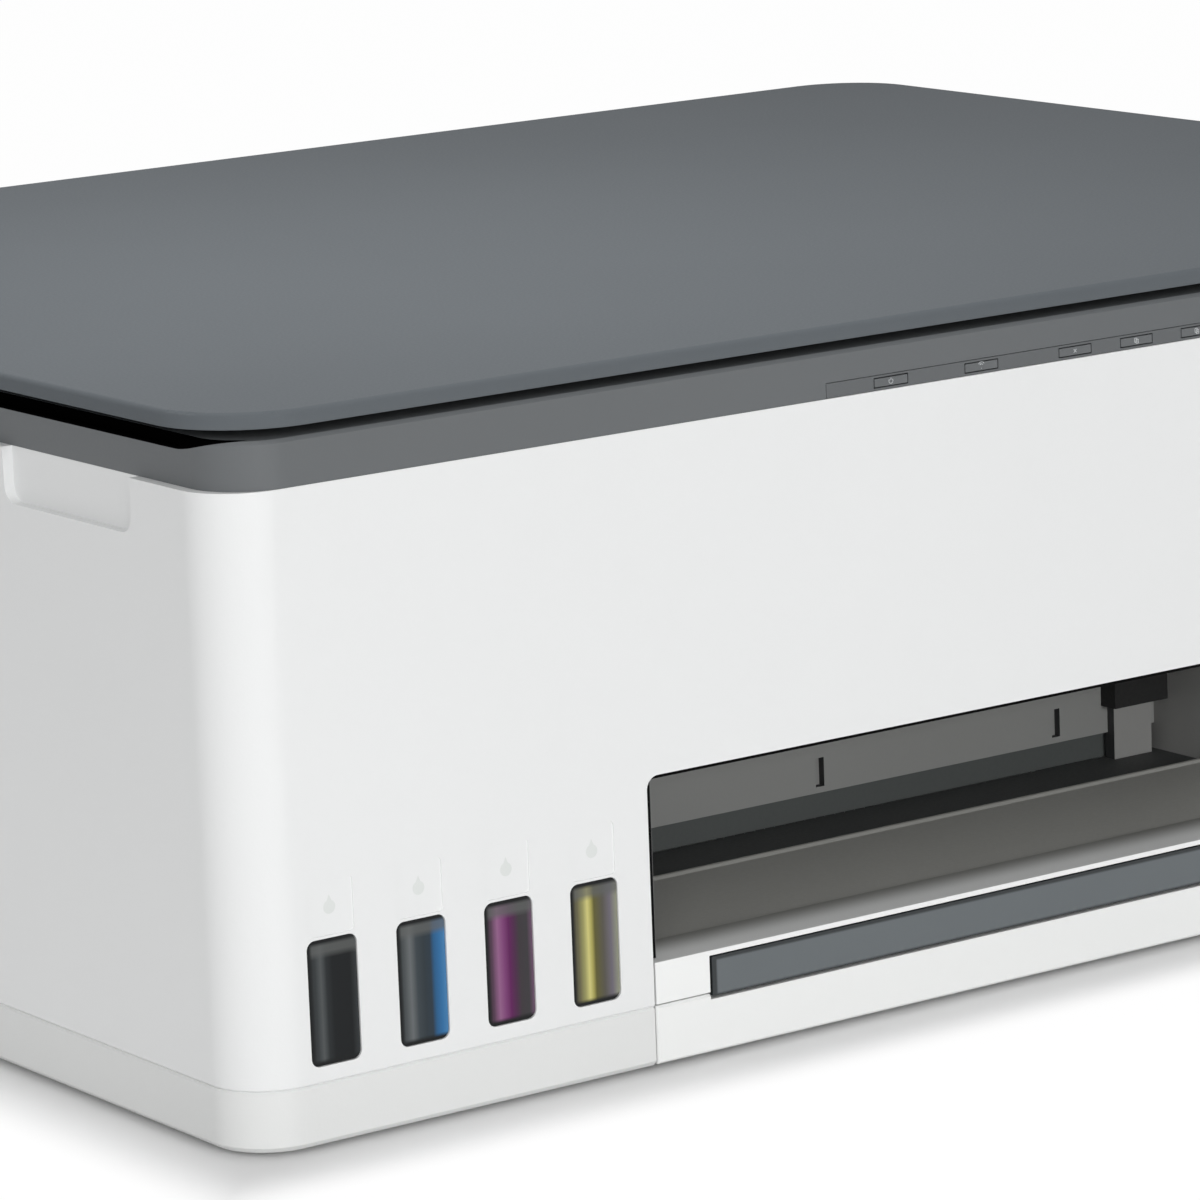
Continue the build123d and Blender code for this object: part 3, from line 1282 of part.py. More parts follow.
# Scanner bezel: the grey band and the frame round the glass
bezel_under = band_top - bezel_plate
with BuildPart() as scanner_bezel:
    plan(case_top, 2 * band_half, case_depth, corner_radius, band_height)
    chamfer(scanner_bezel.edges().group_by(Axis.Z)[-1], band_chamfer)
    plan(case_top, 2 * (band_half - case_wall), case_depth - 2 * case_wall, inner_corner,
         band_height - bezel_plate, Mode.SUBTRACT)
    # Relief under the lid's side edges, where fingers lift the lid
    for sign in (-1, 1):
        block(both((band_half - relief_width, band_half + 1), sign),
              (front + relief_end_gap, back - relief_end_gap),
              (band_top - relief_depth, band_top + 1), Mode.SUBTRACT)
    block(glass_x, glass_y, (bezel_under - 1, band_top + 1), Mode.SUBTRACT)
    for x in (-tub_half - 6, tub_half + 6):
        for y in (tub_front, middle, tub_back):
            with Locations((x, y, (case_top + flange_thickness + bezel_under + 1) / 2)):
                Cylinder(post_radius, bezel_under + 1 - case_top - flange_thickness)
    # Pocket for the control panel and holes for its buttons
    block((-panel_half, panel_half), (front - 1, front + panel_depth),
          (case_top - 1, case_top + panel_height), Mode.SUBTRACT)
    button_z = case_top + panel_height / 2
    for place in button_places.values():
        block((place - button_width / 2 - 2 * button_gap, place + button_width / 2 + 2 * button_gap),
              (front, inner_front + 1),
              (button_z - button_height / 2 - button_gap, button_z + button_height / 2 + button_gap),
              Mode.SUBTRACT)
    # Tongues of the scanner hinge and ears of the lid hinge, behind the band
    for sign in (-1, 1):
        tongue = (sign * scanner_hinge_x - tongue_width / 2, sign * scanner_hinge_x + tongue_width / 2)
        rod_x(tongue, hinge_y, scanner_hinge_z, hinge_barrel)
        block(tongue, (inner_back + 1, hinge_y), (case_top, case_top + 5))
        block(tongue, (hinge_y - 1, hinge_y + hinge_barrel), (scanner_hinge_z, case_top + 5))
        rod_x(tongue, hinge_y, scanner_hinge_z, hinge_pin + running_fit, Mode.SUBTRACT)
        for offset in (-1, 1):
            ear_low = sign * lid_hinge_x + offset * (tongue_width / 2 + side_gap)
            ear_high = ear_low + offset * ear_thickness
            ear = (min(ear_low, ear_high), max(ear_low, ear_high))
            rod_x(ear, hinge_y, lid_hinge_z, hinge_barrel)
            block(ear, (inner_back + 1, hinge_y), (lid_hinge_z - hinge_barrel, band_top - 1))
            block(ear, (back - 0.5, hinge_y), (lid_hinge_z - hinge_barrel, lid_hinge_z))
        pin_half = tongue_width / 2 + side_gap + 1
        rod_x((sign * lid_hinge_x - pin_half, sign * lid_hinge_x + pin_half), hinge_y,
              lid_hinge_z, hinge_pin)
scanner_bezel.part.label = "scanner_bezel"
export_step(scanner_bezel.part, "parts/scanner_bezel.step")

# Glass under the frame
with BuildPart() as platen_glass:
    block((glass_x[0] - glass_margin, glass_x[1] + glass_margin),
          (glass_y[0] - glass_margin, glass_y[1] + glass_margin),
          (bezel_under - glass_thickness, bezel_under))
platen_glass.part.label = "platen_glass"
export_step(platen_glass.part, "parts/platen_glass.step")

# Scan bar: the sensor's long housing on a bush that slides on the rod
bar_left = glass_x[0] - 8
scan_bar_top = bezel_under - glass_thickness - scan_bar_gap
with BuildPart() as scan_bar:
    block((bar_left, bar_left + scan_bar_width), (glass_y[0] - 2, glass_y[1] + 2),
          (rod_seat_z + scan_rod_radius, scan_bar_top))
    bush_middle = bar_left + scan_bar_width / 2
    block((bush_middle - bush_length / 2 + 2, bush_middle + bush_length / 2 + 2),
          (rod_line_y - bush_half, rod_line_y + bush_half),
          (tub_floor + tub_wall + 0.5, rod_seat_z + scan_rod_radius + 2))
    rod_x((bar_left - 20, bar_left + 40), rod_line_y, rod_seat_z, scan_rod_radius + running_fit,
          Mode.SUBTRACT)
scan_bar.part.label = "scan_bar"
export_step(scan_bar.part, "parts/scan_bar.step")

# Control panel strip with the buttons' holes
with BuildPart() as control_panel:
    block((-panel_half + panel_gap, panel_half - panel_gap), (front, front + panel_depth),
          (case_top + panel_gap, case_top + panel_height - panel_gap))
    for place in button_places.values():
        block((place - button_width / 2 - button_gap, place + button_width / 2 + button_gap),
              (front - 1, front + panel_depth + 1),
              (button_z - button_height / 2 - button_gap, button_z + button_height / 2 + button_gap),
              Mode.SUBTRACT)
control_panel.part.label = "control_panel"
export_step(control_panel.part, "parts/control_panel.step")

# Push buttons: a cap with a flange behind the band's wall
for button_name, place in button_places.items():
    with BuildPart() as panel_button:
        block((place - button_width / 2, place + button_width / 2), (front, front + button_stem),
              (button_z - button_height / 2, button_z + button_height / 2))
        block((place - button_width / 2 - 1, place + button_width / 2 + 1),
              (inner_front + running_fit, inner_front + running_fit + button_flange),
              (button_z - button_height / 2 - 1, button_z + button_height / 2 + 1))
    panel_button.part.label = button_name
    export_step(panel_button.part, f"parts/{button_name}.step")

# Lid: a thin slab with two hinge tongues
with BuildPart() as lid:
    plan(lid_bottom, case_width, case_depth, lid_corner_radius, lid_thickness)
    fillet(lid.edges().group_by(Axis.Z)[-1], lid_edge_round)
    for sign in (-1, 1):
        tongue = (sign * lid_hinge_x - tongue_width / 2, sign * lid_hinge_x + tongue_width / 2)
        rod_x(tongue, hinge_y, lid_hinge_z, hinge_barrel)
        block(tongue, (back - 2, hinge_y), (lid_bottom, lid_hinge_z + hinge_barrel))
        rod_x(tongue, hinge_y, lid_hinge_z, hinge_pin + running_fit, Mode.SUBTRACT)
lid.part.label = "lid"
export_step(lid.part, "parts/lid.step")

# White pad that presses the paper on the glass
with BuildPart() as lid_pad:
    block((glass_x[0] + pad_gap, glass_x[1] - pad_gap), (glass_y[0] + pad_gap, glass_y[1] - pad_gap),
          (bezel_under + pad_lift, lid_bottom))
lid_pad.part.label = "lid_pad"
export_step(lid_pad.part, "parts/lid_pad.step")
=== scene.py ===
"""Multifunction printer: looks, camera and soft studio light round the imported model.

Row frame in metres: X to the right, Y to the back, Z up, the floor at Z 0.
"""

import json
from math import cos, pi, radians, sin

import bpy
from mathutils import Matrix, Vector

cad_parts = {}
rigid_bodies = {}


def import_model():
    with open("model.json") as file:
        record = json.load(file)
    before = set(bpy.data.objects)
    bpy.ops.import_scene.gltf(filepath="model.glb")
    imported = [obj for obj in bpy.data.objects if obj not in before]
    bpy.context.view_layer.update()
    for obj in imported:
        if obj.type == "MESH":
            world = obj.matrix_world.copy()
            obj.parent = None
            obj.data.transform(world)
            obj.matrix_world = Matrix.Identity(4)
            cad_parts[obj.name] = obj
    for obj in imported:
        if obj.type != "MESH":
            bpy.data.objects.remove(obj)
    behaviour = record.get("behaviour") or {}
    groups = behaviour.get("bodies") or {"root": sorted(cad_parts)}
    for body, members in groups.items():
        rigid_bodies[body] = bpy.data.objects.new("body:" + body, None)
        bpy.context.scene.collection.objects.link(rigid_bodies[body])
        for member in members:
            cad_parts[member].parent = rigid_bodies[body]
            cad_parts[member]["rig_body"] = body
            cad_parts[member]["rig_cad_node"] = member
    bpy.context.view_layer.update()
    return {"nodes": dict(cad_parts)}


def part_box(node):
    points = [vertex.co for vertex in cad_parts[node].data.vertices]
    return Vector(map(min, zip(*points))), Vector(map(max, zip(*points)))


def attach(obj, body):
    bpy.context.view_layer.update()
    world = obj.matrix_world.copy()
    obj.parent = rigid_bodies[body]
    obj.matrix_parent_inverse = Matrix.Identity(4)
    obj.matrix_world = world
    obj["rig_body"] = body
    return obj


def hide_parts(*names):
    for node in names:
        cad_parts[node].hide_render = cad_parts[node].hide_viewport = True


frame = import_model()
NODES = frame["nodes"]
MM = 0.001

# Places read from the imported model
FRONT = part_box("main_case")[0].y
BASE_LOW, BASE_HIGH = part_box("base_tub")
BAND_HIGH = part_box("scanner_bezel")[1]
LID_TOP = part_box("lid")[1].z
PANES_LOW, PANES_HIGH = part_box("tank_windows")
LIP_LOW, LIP_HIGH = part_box("output_lip")
BED_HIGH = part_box("output_bed")[1]
BAR_LOW, BAR_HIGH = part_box("tray_extender")
SLOT_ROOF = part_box("exit_housing")[1].z
GLASS_LOW, GLASS_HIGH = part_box("platen_glass")

# Ink windows: a pane in each hole, with a flange behind the wall
INKS = ("black", "cyan", "magenta", "yellow")
PANE_FLANGE = 1.5 * MM
PANE_WIDTH = 12.5 * MM
FIRST_PANE = PANES_LOW.x + PANE_FLANGE + PANE_WIDTH / 2
PANE_PITCH = (PANES_HIGH.x - PANES_LOW.x - 2 * PANE_FLANGE - PANE_WIDTH) / (len(INKS) - 1)
PANE_BOTTOM = PANES_LOW.z + PANE_FLANGE
PANE_TOP = PANES_HIGH.z - PANE_FLANGE
LABEL_MIDDLE = PANE_TOP + 6.5 * MM
LABEL_DEPTH = 0.3 * MM

# The band, and the lid's shadow painted black along the band's top side edges, which starts at its
# front corners
LID_THICKNESS = 3.5 * MM
LID_GAP = 2.2 * MM
BAND_TOP = LID_TOP - LID_THICKNESS - LID_GAP
BAND_CORNER = 14.0 * MM
LID_SHADOW_DEPTH = 2.6 * MM
LID_SHADOW_WIDTH = 2.6 * MM
LID_SHADOW_START = 2.0 * MM
LID_SHADOW_FULL = 20.0 * MM

# Output slot: its walls with their painted shade, the lip in front with its painted shade, and the
# pull-out bar with painted shadow on its rim
LIP_SHADE_FADE = (4.0 * MM, 1.0 * MM)
CHEEK_INSET = 8.2 * MM
PILLAR_TOP = 35 * MM
PILLAR_REACH = 18 * MM
CORNER_SHADE_REACH = 20 * MM
WALL_BAND_BOTTOM = 28 * MM
SHELF_DEPTH = 24 * MM
SHELF_DROP = 2.5 * MM
BAR_RIM = 1.3 * MM
BAR_TOP_RIM = 0.9 * MM
BAR_FOOT_RIM = 0.5 * MM

# Black strip behind the case wall, round the top and sides of the output slot: painted shadow under
# the slot's edges
SHADOW_STRIP_WIDTH = 2.4 * MM
SHADOW_STRIP_THICKNESS = 0.24 * MM
SHADOW_STRIP_OVERLAP = 0.4 * MM
SHADOW_STRIP_LIFT = 0.3 * MM
SHADOW_STRIP_TOP = SLOT_ROOF - 1.1 * MM
SHADOW_STRIP_DEPTH = FRONT + 2.64 * MM
SHADOW_STRIP_EDGE = 0.04 * MM

# Printed marks: flat, with a soft edge
PRINT_THICKNESS = 0.08 * MM
PRINT_EDGE = 0.03 * MM
MARK_INLAY = 0.05 * MM
MARK_WIDTH = 0.14 * MM
DROP_RADIUS = 1.5 * MM
DROP_THICKNESS = 0.06 * MM

# Sheet sizes marked beside the glass, from its corner, in millimetres
SHEET_MARKS = (105, 148, 184, 210)

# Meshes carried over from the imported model: what counts as one point, one plane, one corner
MERGE_DISTANCE = 0.002 * MM
PLANE_ANGLE = 0.8
CORNER_ANGLE = 28

# Camera, fitted to the photograph
CAMERA_PLACE = Vector((-0.8501, -1.2075, 0.3679))
CAMERA_YAW = 35.274
CAMERA_PITCH = -11.741
CAMERA_ROLL = -2.191
FOCAL_PIXELS = 6050.1
PHOTO_PIXELS = 1200
SENSOR_MM = 36.0


def add_camera():
    """Look at the front left corner from a little above, as the photograph does."""
    yaw, pitch, roll = radians(CAMERA_YAW), radians(CAMERA_PITCH), radians(CAMERA_ROLL)
    ahead = Vector((sin(yaw) * cos(pitch), cos(yaw) * cos(pitch), sin(pitch)))
    level = Vector((cos(yaw), -sin(yaw), 0))
    upright = level.cross(ahead)
    right = level * cos(roll) + upright * sin(roll)
    up = upright * cos(roll) - level * sin(roll)
    camera = bpy.data.objects.new("photo_camera", bpy.data.cameras.new("photo_camera"))
    bpy.context.scene.collection.objects.link(camera)
    turned = Matrix((right, up, -ahead)).transposed()
    camera.matrix_world = Matrix.Translation(CAMERA_PLACE) @ turned.to_4x4()
    camera.data.sensor_width = SENSOR_MM
    camera.data.lens = FOCAL_PIXELS / PHOTO_PIXELS * SENSOR_MM
    camera.data.clip_start = 0.05
    camera.data.clip_end = 50
    bpy.context.scene.camera = camera


# Materials

def linear(colour):
    """Turn an sRGB hex value such as "#ececea" to linear red, green, blue and alpha."""
    parts = [int(colour[i:i + 2], 16) / 255 for i in (1, 3, 5)]
    return [c / 12.92 if c <= 0.04045 else ((c + 0.055) / 1.055) ** 2.4 for c in parts] + [1.0]


def add_node(tree, kind, links=None, **settings):
    """Add a node; links gives its sockets by name or number, as values or other sockets."""
    node = tree.nodes.new(kind)
    for key, value in settings.items():
        setattr(node, key, value)
    for socket, value in (links or {}).items():
        if isinstance(value, bpy.types.NodeSocket):
            tree.links.new(value, node.inputs[socket])
        else:
            node.inputs[socket].default_value = value
    return node


def start_material(name):
    """An empty material; returns it with its tree and the Object coordinates."""
    material = bpy.data.materials.new(name)
    material.use_nodes = True
    tree = material.node_tree
    tree.nodes.clear()
    place = add_node(tree, "ShaderNodeTexCoord").outputs["Object"]
    return material, tree, place


def close_material(tree, shader):
    """Join the finished shader to the output."""
    add_node(tree, "ShaderNodeOutputMaterial", {"Surface": shader.outputs[0]})


def moulded(name, shade, other, rough, grain, depth, ior=1.53, level=0.5):
    """Injection-moulded plastic: a fine spark-eroded grain and slight shade changes.

    shade and other are its two near colours, rough its least and most roughness, grain the
    width of the texture's pits and depth their depth, both in millimetres.
    """
    material, tree, place = start_material(name)
    broad = add_node(tree, "ShaderNodeTexNoise", {"Vector": place, "Scale": 1 / (90 * MM),
                                                  "Detail": 3.0, "Roughness": 0.5})
    tone = add_node(tree, "ShaderNodeMix", {0: broad.outputs[0], 6: linear(shade),
                                            7: linear(other)}, data_type="RGBA")
    pits = add_node(tree, "ShaderNodeTexNoise", {"Vector": place, "Scale": 1 / (grain * MM),
                                                 "Detail": 2.0, "Roughness": 0.55})
    gloss = add_node(tree, "ShaderNodeMapRange", {0: pits.outputs[0], 1: 0.3, 2: 0.7,
                                                  3: rough[0], 4: rough[1]})
    bump = add_node(tree, "ShaderNodeBump", {"Height": pits.outputs[0], "Strength": 0.5,
                                             "Distance": depth * MM})
    shader = add_node(tree, "ShaderNodeBsdfPrincipled", {
        "Base Color": tone.outputs[2], "Roughness": gloss.outputs[0], "IOR": ior,
        "Specular IOR Level": level, "Normal": bump.outputs[0]})
    close_material(tree, shader)
    return material


def metal(name, shade, rough, grain, stretch=(1, 1, 1), mottle=0.12):
    """Bare or plated metal: streaks stretched along one axis, with roughness that varies."""
    material, tree, place = start_material(name)
    along = add_node(tree, "ShaderNodeMapping", {"Vector": place, "Scale": stretch})
    streak = add_node(tree, "ShaderNodeTexNoise", {"Vector": along.outputs[0],
                                                   "Scale": 1 / (grain * MM), "Detail": 3.0})
    gloss = add_node(tree, "ShaderNodeMapRange", {0: streak.outputs[0], 1: 0.3, 2: 0.7,
                                                  3: rough, 4: rough + mottle})
    bump = add_node(tree, "ShaderNodeBump", {"Height": streak.outputs[0], "Strength": 0.25,
                                             "Distance": 0.03 * MM})
    shader = add_node(tree, "ShaderNodeBsdfPrincipled", {
        "Base Color": linear(shade), "Metallic": 1.0, "Roughness": gloss.outputs[0],
        "Normal": bump.outputs[0]})
    close_material(tree, shader)
    return material


def spangled_zinc():
    """Hot-dip galvanised sheet: crystals 4 mm across, each with its own grey and gloss."""
    material, tree, place = start_material("galvanised_sheet")
    crystal = add_node(tree, "ShaderNodeTexVoronoi", {"Vector": place, "Scale": 1 / (4 * MM)})
    grey = add_node(tree, "ShaderNodeRGBToBW", {0: crystal.outputs["Color"]})
    tone = add_node(tree, "ShaderNodeMix", {0: grey.outputs[0], 6: linear("#a9abac"),
                                            7: linear("#c6c8c9")}, data_type="RGBA")
    gloss = add_node(tree, "ShaderNodeMapRange", {0: grey.outputs[0], 3: 0.32, 4: 0.5})
    shader = add_node(tree, "ShaderNodeBsdfPrincipled", {
        "Base Color": tone.outputs[2], "Metallic": 1.0, "Roughness": gloss.outputs[0]})
    close_material(tree, shader)
    return material


def solder_mask():
    """Glass fibre board under green solder mask, with copper tracks 0.6 mm wide showing."""
    material, tree, place = start_material("board_solder_mask")
    tracks = add_node(tree, "ShaderNodeTexBrick", {
        "Vector": place, "Scale": 1 / (2.4 * MM), "Mortar Size": 0.06, "Brick Width": 3.7,
        "Row Height": 0.5, "Color1": linear("#1b5a38"), "Color2": linear("#205f3e"),
        "Mortar": linear("#3a8a58")})
    shader = add_node(tree, "ShaderNodeBsdfPrincipled", {
        "Base Color": tracks.outputs[0], "Roughness": 0.35, "IOR": 1.55})
    close_material(tree, shader)
    return material


def rubber(name, shade, grain=0.5):
    """Black nitrile rubber: matt, with a fine ground surface."""
    return moulded(name, shade, shade, (0.68, 0.85), grain, 0.05, ior=1.52)


def clear(name, shade, alpha, rough):
    """A clear moulding seen through: its alpha lets what is behind show, its face is glossy."""
    material, tree, place = start_material(name)
    ripple = add_node(tree, "ShaderNodeTexNoise", {"Vector": place, "Scale": 1 / (25 * MM)})
    bump = add_node(tree, "ShaderNodeBump", {"Height": ripple.outputs[0], "Strength": 0.2,
                                             "Distance": 0.1 * MM})
    shader = add_node(tree, "ShaderNodeBsdfPrincipled", {
        "Base Color": linear(shade), "Roughness": rough, "IOR": 1.5, "Alpha": alpha,
        "Normal": bump.outputs[0]})
    close_material(tree, shader)
    return material


# What shows behind each smoky pane, from its left edge (0) to its right edge (1): the ink's colour
# with painted highlights and painted shade of the round tank
PANE_INK_AND_SHEEN = {
    "black": ((0.0, "#1d2021"), (0.16, "#34383a"), (0.27, "#4f5354"), (0.38, "#272b2d"),
              (0.5, "#16191b"), (0.85, "#141719"), (1.0, "#35383a")),
    "cyan": ((0.0, "#262a2c"), (0.14, "#474c4e"), (0.27, "#65696b"), (0.4, "#3a4247"),
             (0.55, "#2d363c"), (0.68, "#2b3843"), (0.76, "#275a86"), (0.88, "#306c9f"),
             (1.0, "#4a80ad")),
    "magenta": ((0.0, "#302a2f"), (0.14, "#4f384a"), (0.27, "#8f5f86"), (0.38, "#7c4274"),
                (0.5, "#5d1e56"), (0.62, "#4a2746"), (0.72, "#3b363a"), (0.88, "#3b393c"),
                (1.0, "#6f506b")),
    "yellow": ((0.0, "#434139"), (0.15, "#646047"), (0.27, "#98955f"), (0.36, "#ccc57c"),
               (0.43, "#aaa35a"), (0.5, "#5f5b30"), (0.68, "#56534a"), (0.84, "#6c6771"),
               (1.0, "#92957f")),
}
# Painted shade at each pane's rim and how far in it fades; the grey of the empty space above the
# ink and its fade
PANE_RIM_SHADE = "#151718"
PANE_AIR = "#5d5f5e"
RIM_SHADE_FADE = (0.7 * MM, 1.5 * MM)
AIR_FADE = (4.2 * MM, 2.8 * MM)


def smoky_pane(ink, middle):
    """Smoky polycarbonate: glossy, with painted shade at its rim and the ink as streaks with
    painted highlights and shade.
    """
    material, tree, place = start_material(ink + "_smoky_polycarbonate")
    axes = add_node(tree, "ShaderNodeSeparateXYZ", {0: place}).outputs
    across = add_node(tree, "ShaderNodeMapRange", {0: axes[0], 1: middle - PANE_WIDTH / 2,
                                                   2: middle + PANE_WIDTH / 2})
    streaks = add_node(tree, "ShaderNodeValToRGB", {0: across.outputs[0]})
    stops = streaks.color_ramp.elements
    for number, (share, shade) in enumerate(PANE_INK_AND_SHEEN[ink]):
        stop = stops[number] if number < 2 else stops.new(share)
        stop.position = share
        stop.color = linear(shade)
    air = add_node(tree, "ShaderNodeMapRange", {0: axes[2], 1: PANE_TOP - AIR_FADE[0],
                                                2: PANE_TOP - AIR_FADE[1], 4: 0.75})
    filled = add_node(tree, "ShaderNodeMix", {0: air.outputs[0], 6: streaks.outputs[0],
                                              7: linear(PANE_AIR)}, data_type="RGBA")
    rim = filled.outputs[2]
    edges = ((0, middle - PANE_WIDTH / 2, 1), (2, PANE_BOTTOM, 1), (2, PANE_TOP, -1))
    for axis, edge, inward in edges:
        inside = add_node(tree, "ShaderNodeMapRange", {0: axes[axis],
                                                       1: edge + inward * RIM_SHADE_FADE[0],
                                                       2: edge + inward * RIM_SHADE_FADE[1]})
        rim = add_node(tree, "ShaderNodeMix", {0: inside.outputs[0], 6: linear(PANE_RIM_SHADE), 7: rim},
                       data_type="RGBA").outputs[2]
    shader = add_node(tree, "ShaderNodeBsdfPrincipled", {
        "Base Color": rim, "Roughness": 0.16, "IOR": 1.58, "Specular IOR Level": 0.15})
    close_material(tree, shader)
    return material


def band_with_lid_shadow():
    """Satin grey ABS with the lid's shadow painted black along its top side edges, thinner at the
    front.
    """
    material, tree, place = start_material("grey_abs_satin_band")
    axes = add_node(tree, "ShaderNodeSeparateXYZ", {0: place}).outputs
    broad = add_node(tree, "ShaderNodeTexNoise", {"Vector": place, "Scale": 1 / (90 * MM)})
    tone = add_node(tree, "ShaderNodeMix", {0: broad.outputs[0], 6: linear("#66696b"),
                                            7: linear("#626567")}, data_type="RGBA")
    painted_shadow = add_node(tree, "ShaderNodeMapRange", {
        0: axes[1], 1: FRONT + LID_SHADOW_START, 2: FRONT + LID_SHADOW_FULL, 3: BAND_TOP + 0.1 * MM,
        4: BAND_TOP - LID_SHADOW_DEPTH}, interpolation_type="SMOOTHSTEP")
    above = add_node(tree, "ShaderNodeMath", {0: axes[2], 1: painted_shadow.outputs[0]},
                     operation="GREATER_THAN")
    across = add_node(tree, "ShaderNodeMath", {0: axes[0]}, operation="ABSOLUTE")
    out_x = add_node(tree, "ShaderNodeMath", {0: across.outputs[0],
                                              1: BAND_HIGH.x - BAND_CORNER}, operation="SUBTRACT")
    out_y = add_node(tree, "ShaderNodeMath", {0: FRONT + BAND_CORNER, 1: axes[1]},
                     operation="SUBTRACT")
    outward = add_node(tree, "ShaderNodeCombineXYZ", {0: out_x.outputs[0], 1: out_y.outputs[0]})
    from_arc = add_node(tree, "ShaderNodeVectorMath", {0: outward.outputs[0], 1: (0, 0, 0)},
                        operation="MAXIMUM")
    distance = add_node(tree, "ShaderNodeVectorMath", {0: from_arc.outputs[0]},
                        operation="LENGTH")
    aside = add_node(tree, "ShaderNodeMath", {0: distance.outputs["Value"],
                                              1: BAND_CORNER - LID_SHADOW_WIDTH},
                     operation="GREATER_THAN")
    lid_shadow = add_node(tree, "ShaderNodeMath", {0: above.outputs[0], 1: aside.outputs[0]},
                    operation="MULTIPLY")
    # Painted shadow of the lid: black, with its sheen taken away too
    shade = add_node(tree, "ShaderNodeMix", {0: lid_shadow.outputs[0], 6: tone.outputs[2],
                                             7: linear("#030303")}, data_type="RGBA")
    level = add_node(tree, "ShaderNodeMapRange", {0: lid_shadow.outputs[0], 3: 0.35, 4: 0.0})
    pits = add_node(tree, "ShaderNodeTexNoise", {"Vector": place, "Scale": 1 / (0.7 * MM)})
    gloss = add_node(tree, "ShaderNodeMapRange", {0: pits.outputs[0], 3: 0.5, 4: 0.62})
    bump = add_node(tree, "ShaderNodeBump", {"Height": pits.outputs[0], "Strength": 0.5,
                                             "Distance": 0.02 * MM})
    shader = add_node(tree, "ShaderNodeBsdfPrincipled", {
        "Base Color": shade.outputs[2], "Roughness": gloss.outputs[0], "IOR": 1.53,
        "Specular IOR Level": level.outputs[0], "Normal": bump.outputs[0]})
    close_material(tree, shader)
    return material


def shadowed_bar():
    """Blue-grey ABS bar with painted shadow on its rounded rim, from the gap round it, so it shows
    as a thin dark outline.
    """
    material, tree, place = start_material("blue_grey_abs_bar")
    axes = add_node(tree, "ShaderNodeSeparateXYZ", {0: place}).outputs
    broad = add_node(tree, "ShaderNodeTexNoise", {"Vector": place, "Scale": 1 / (40 * MM),
                                                  "Detail": 3.0})
    shade = add_node(tree, "ShaderNodeMix", {0: broad.outputs[0], 6: linear("#676d70"),
                                             7: linear("#5f6467")}, data_type="RGBA").outputs[2]
    # Painted shadow: the bar darkens towards each edge of its rim
    edges = ((0, BAR_LOW.x, 1, BAR_RIM), (0, BAR_HIGH.x, -1, BAR_RIM),
             (2, BAR_HIGH.z, -1, BAR_TOP_RIM), (2, BAR_LOW.z, 1, BAR_FOOT_RIM))
    for axis, edge, inward, rim in edges:
        inside = add_node(tree, "ShaderNodeMapRange", {
            0: axes[axis], 1: edge + inward * (rim - 0.3 * MM),
            2: edge + inward * (rim + 0.2 * MM)})
        shade = add_node(tree, "ShaderNodeMix", {0: inside.outputs[0], 6: linear("#2a2e30"),
                                                 7: shade}, data_type="RGBA").outputs[2]
    pits = add_node(tree, "ShaderNodeTexNoise", {"Vector": place, "Scale": 1 / (0.7 * MM)})
    gloss = add_node(tree, "ShaderNodeMapRange", {0: pits.outputs[0], 3: 0.45, 4: 0.55})
    shader = add_node(tree, "ShaderNodeBsdfPrincipled", {
        "Base Color": shade, "Roughness": gloss.outputs[0], "IOR": 1.53,
        "Specular IOR Level": 0.35})
    close_material(tree, shader)
    return material


def polished_lip():
    """White ABS polished on top, with painted shade and reflection of the dark slot: it turns grey
    towards the back, where it dips to meet the bed.
    """
    material, tree, place = start_material("white_abs_polished_lip")
    depth = add_node(tree, "ShaderNodeSeparateXYZ", {0: place}).outputs[1]
    slot_shade = add_node(tree, "ShaderNodeMapRange", {0: depth, 1: LIP_LOW.y + LIP_SHADE_FADE[0],
                                                 2: LIP_HIGH.y - LIP_SHADE_FADE[1]},
                    interpolation_type="SMOOTHSTEP")
    # Painted shade: the lip's white darkens to grey towards its back edge
    tone = add_node(tree, "ShaderNodeMix", {0: slot_shade.outputs[0], 6: linear("#f4f5f4"),
                                            7: linear("#8c8c88")}, data_type="RGBA")
    pits = add_node(tree, "ShaderNodeTexNoise", {"Vector": place, "Scale": 1 / (1.2 * MM)})
    gloss = add_node(tree, "ShaderNodeMapRange", {0: pits.outputs[0], 3: 0.3, 4: 0.42})
    shader = add_node(tree, "ShaderNodeBsdfPrincipled", {
        "Base Color": tone.outputs[2], "Roughness": gloss.outputs[0], "IOR": 1.53})
    close_material(tree, shader)
    return material


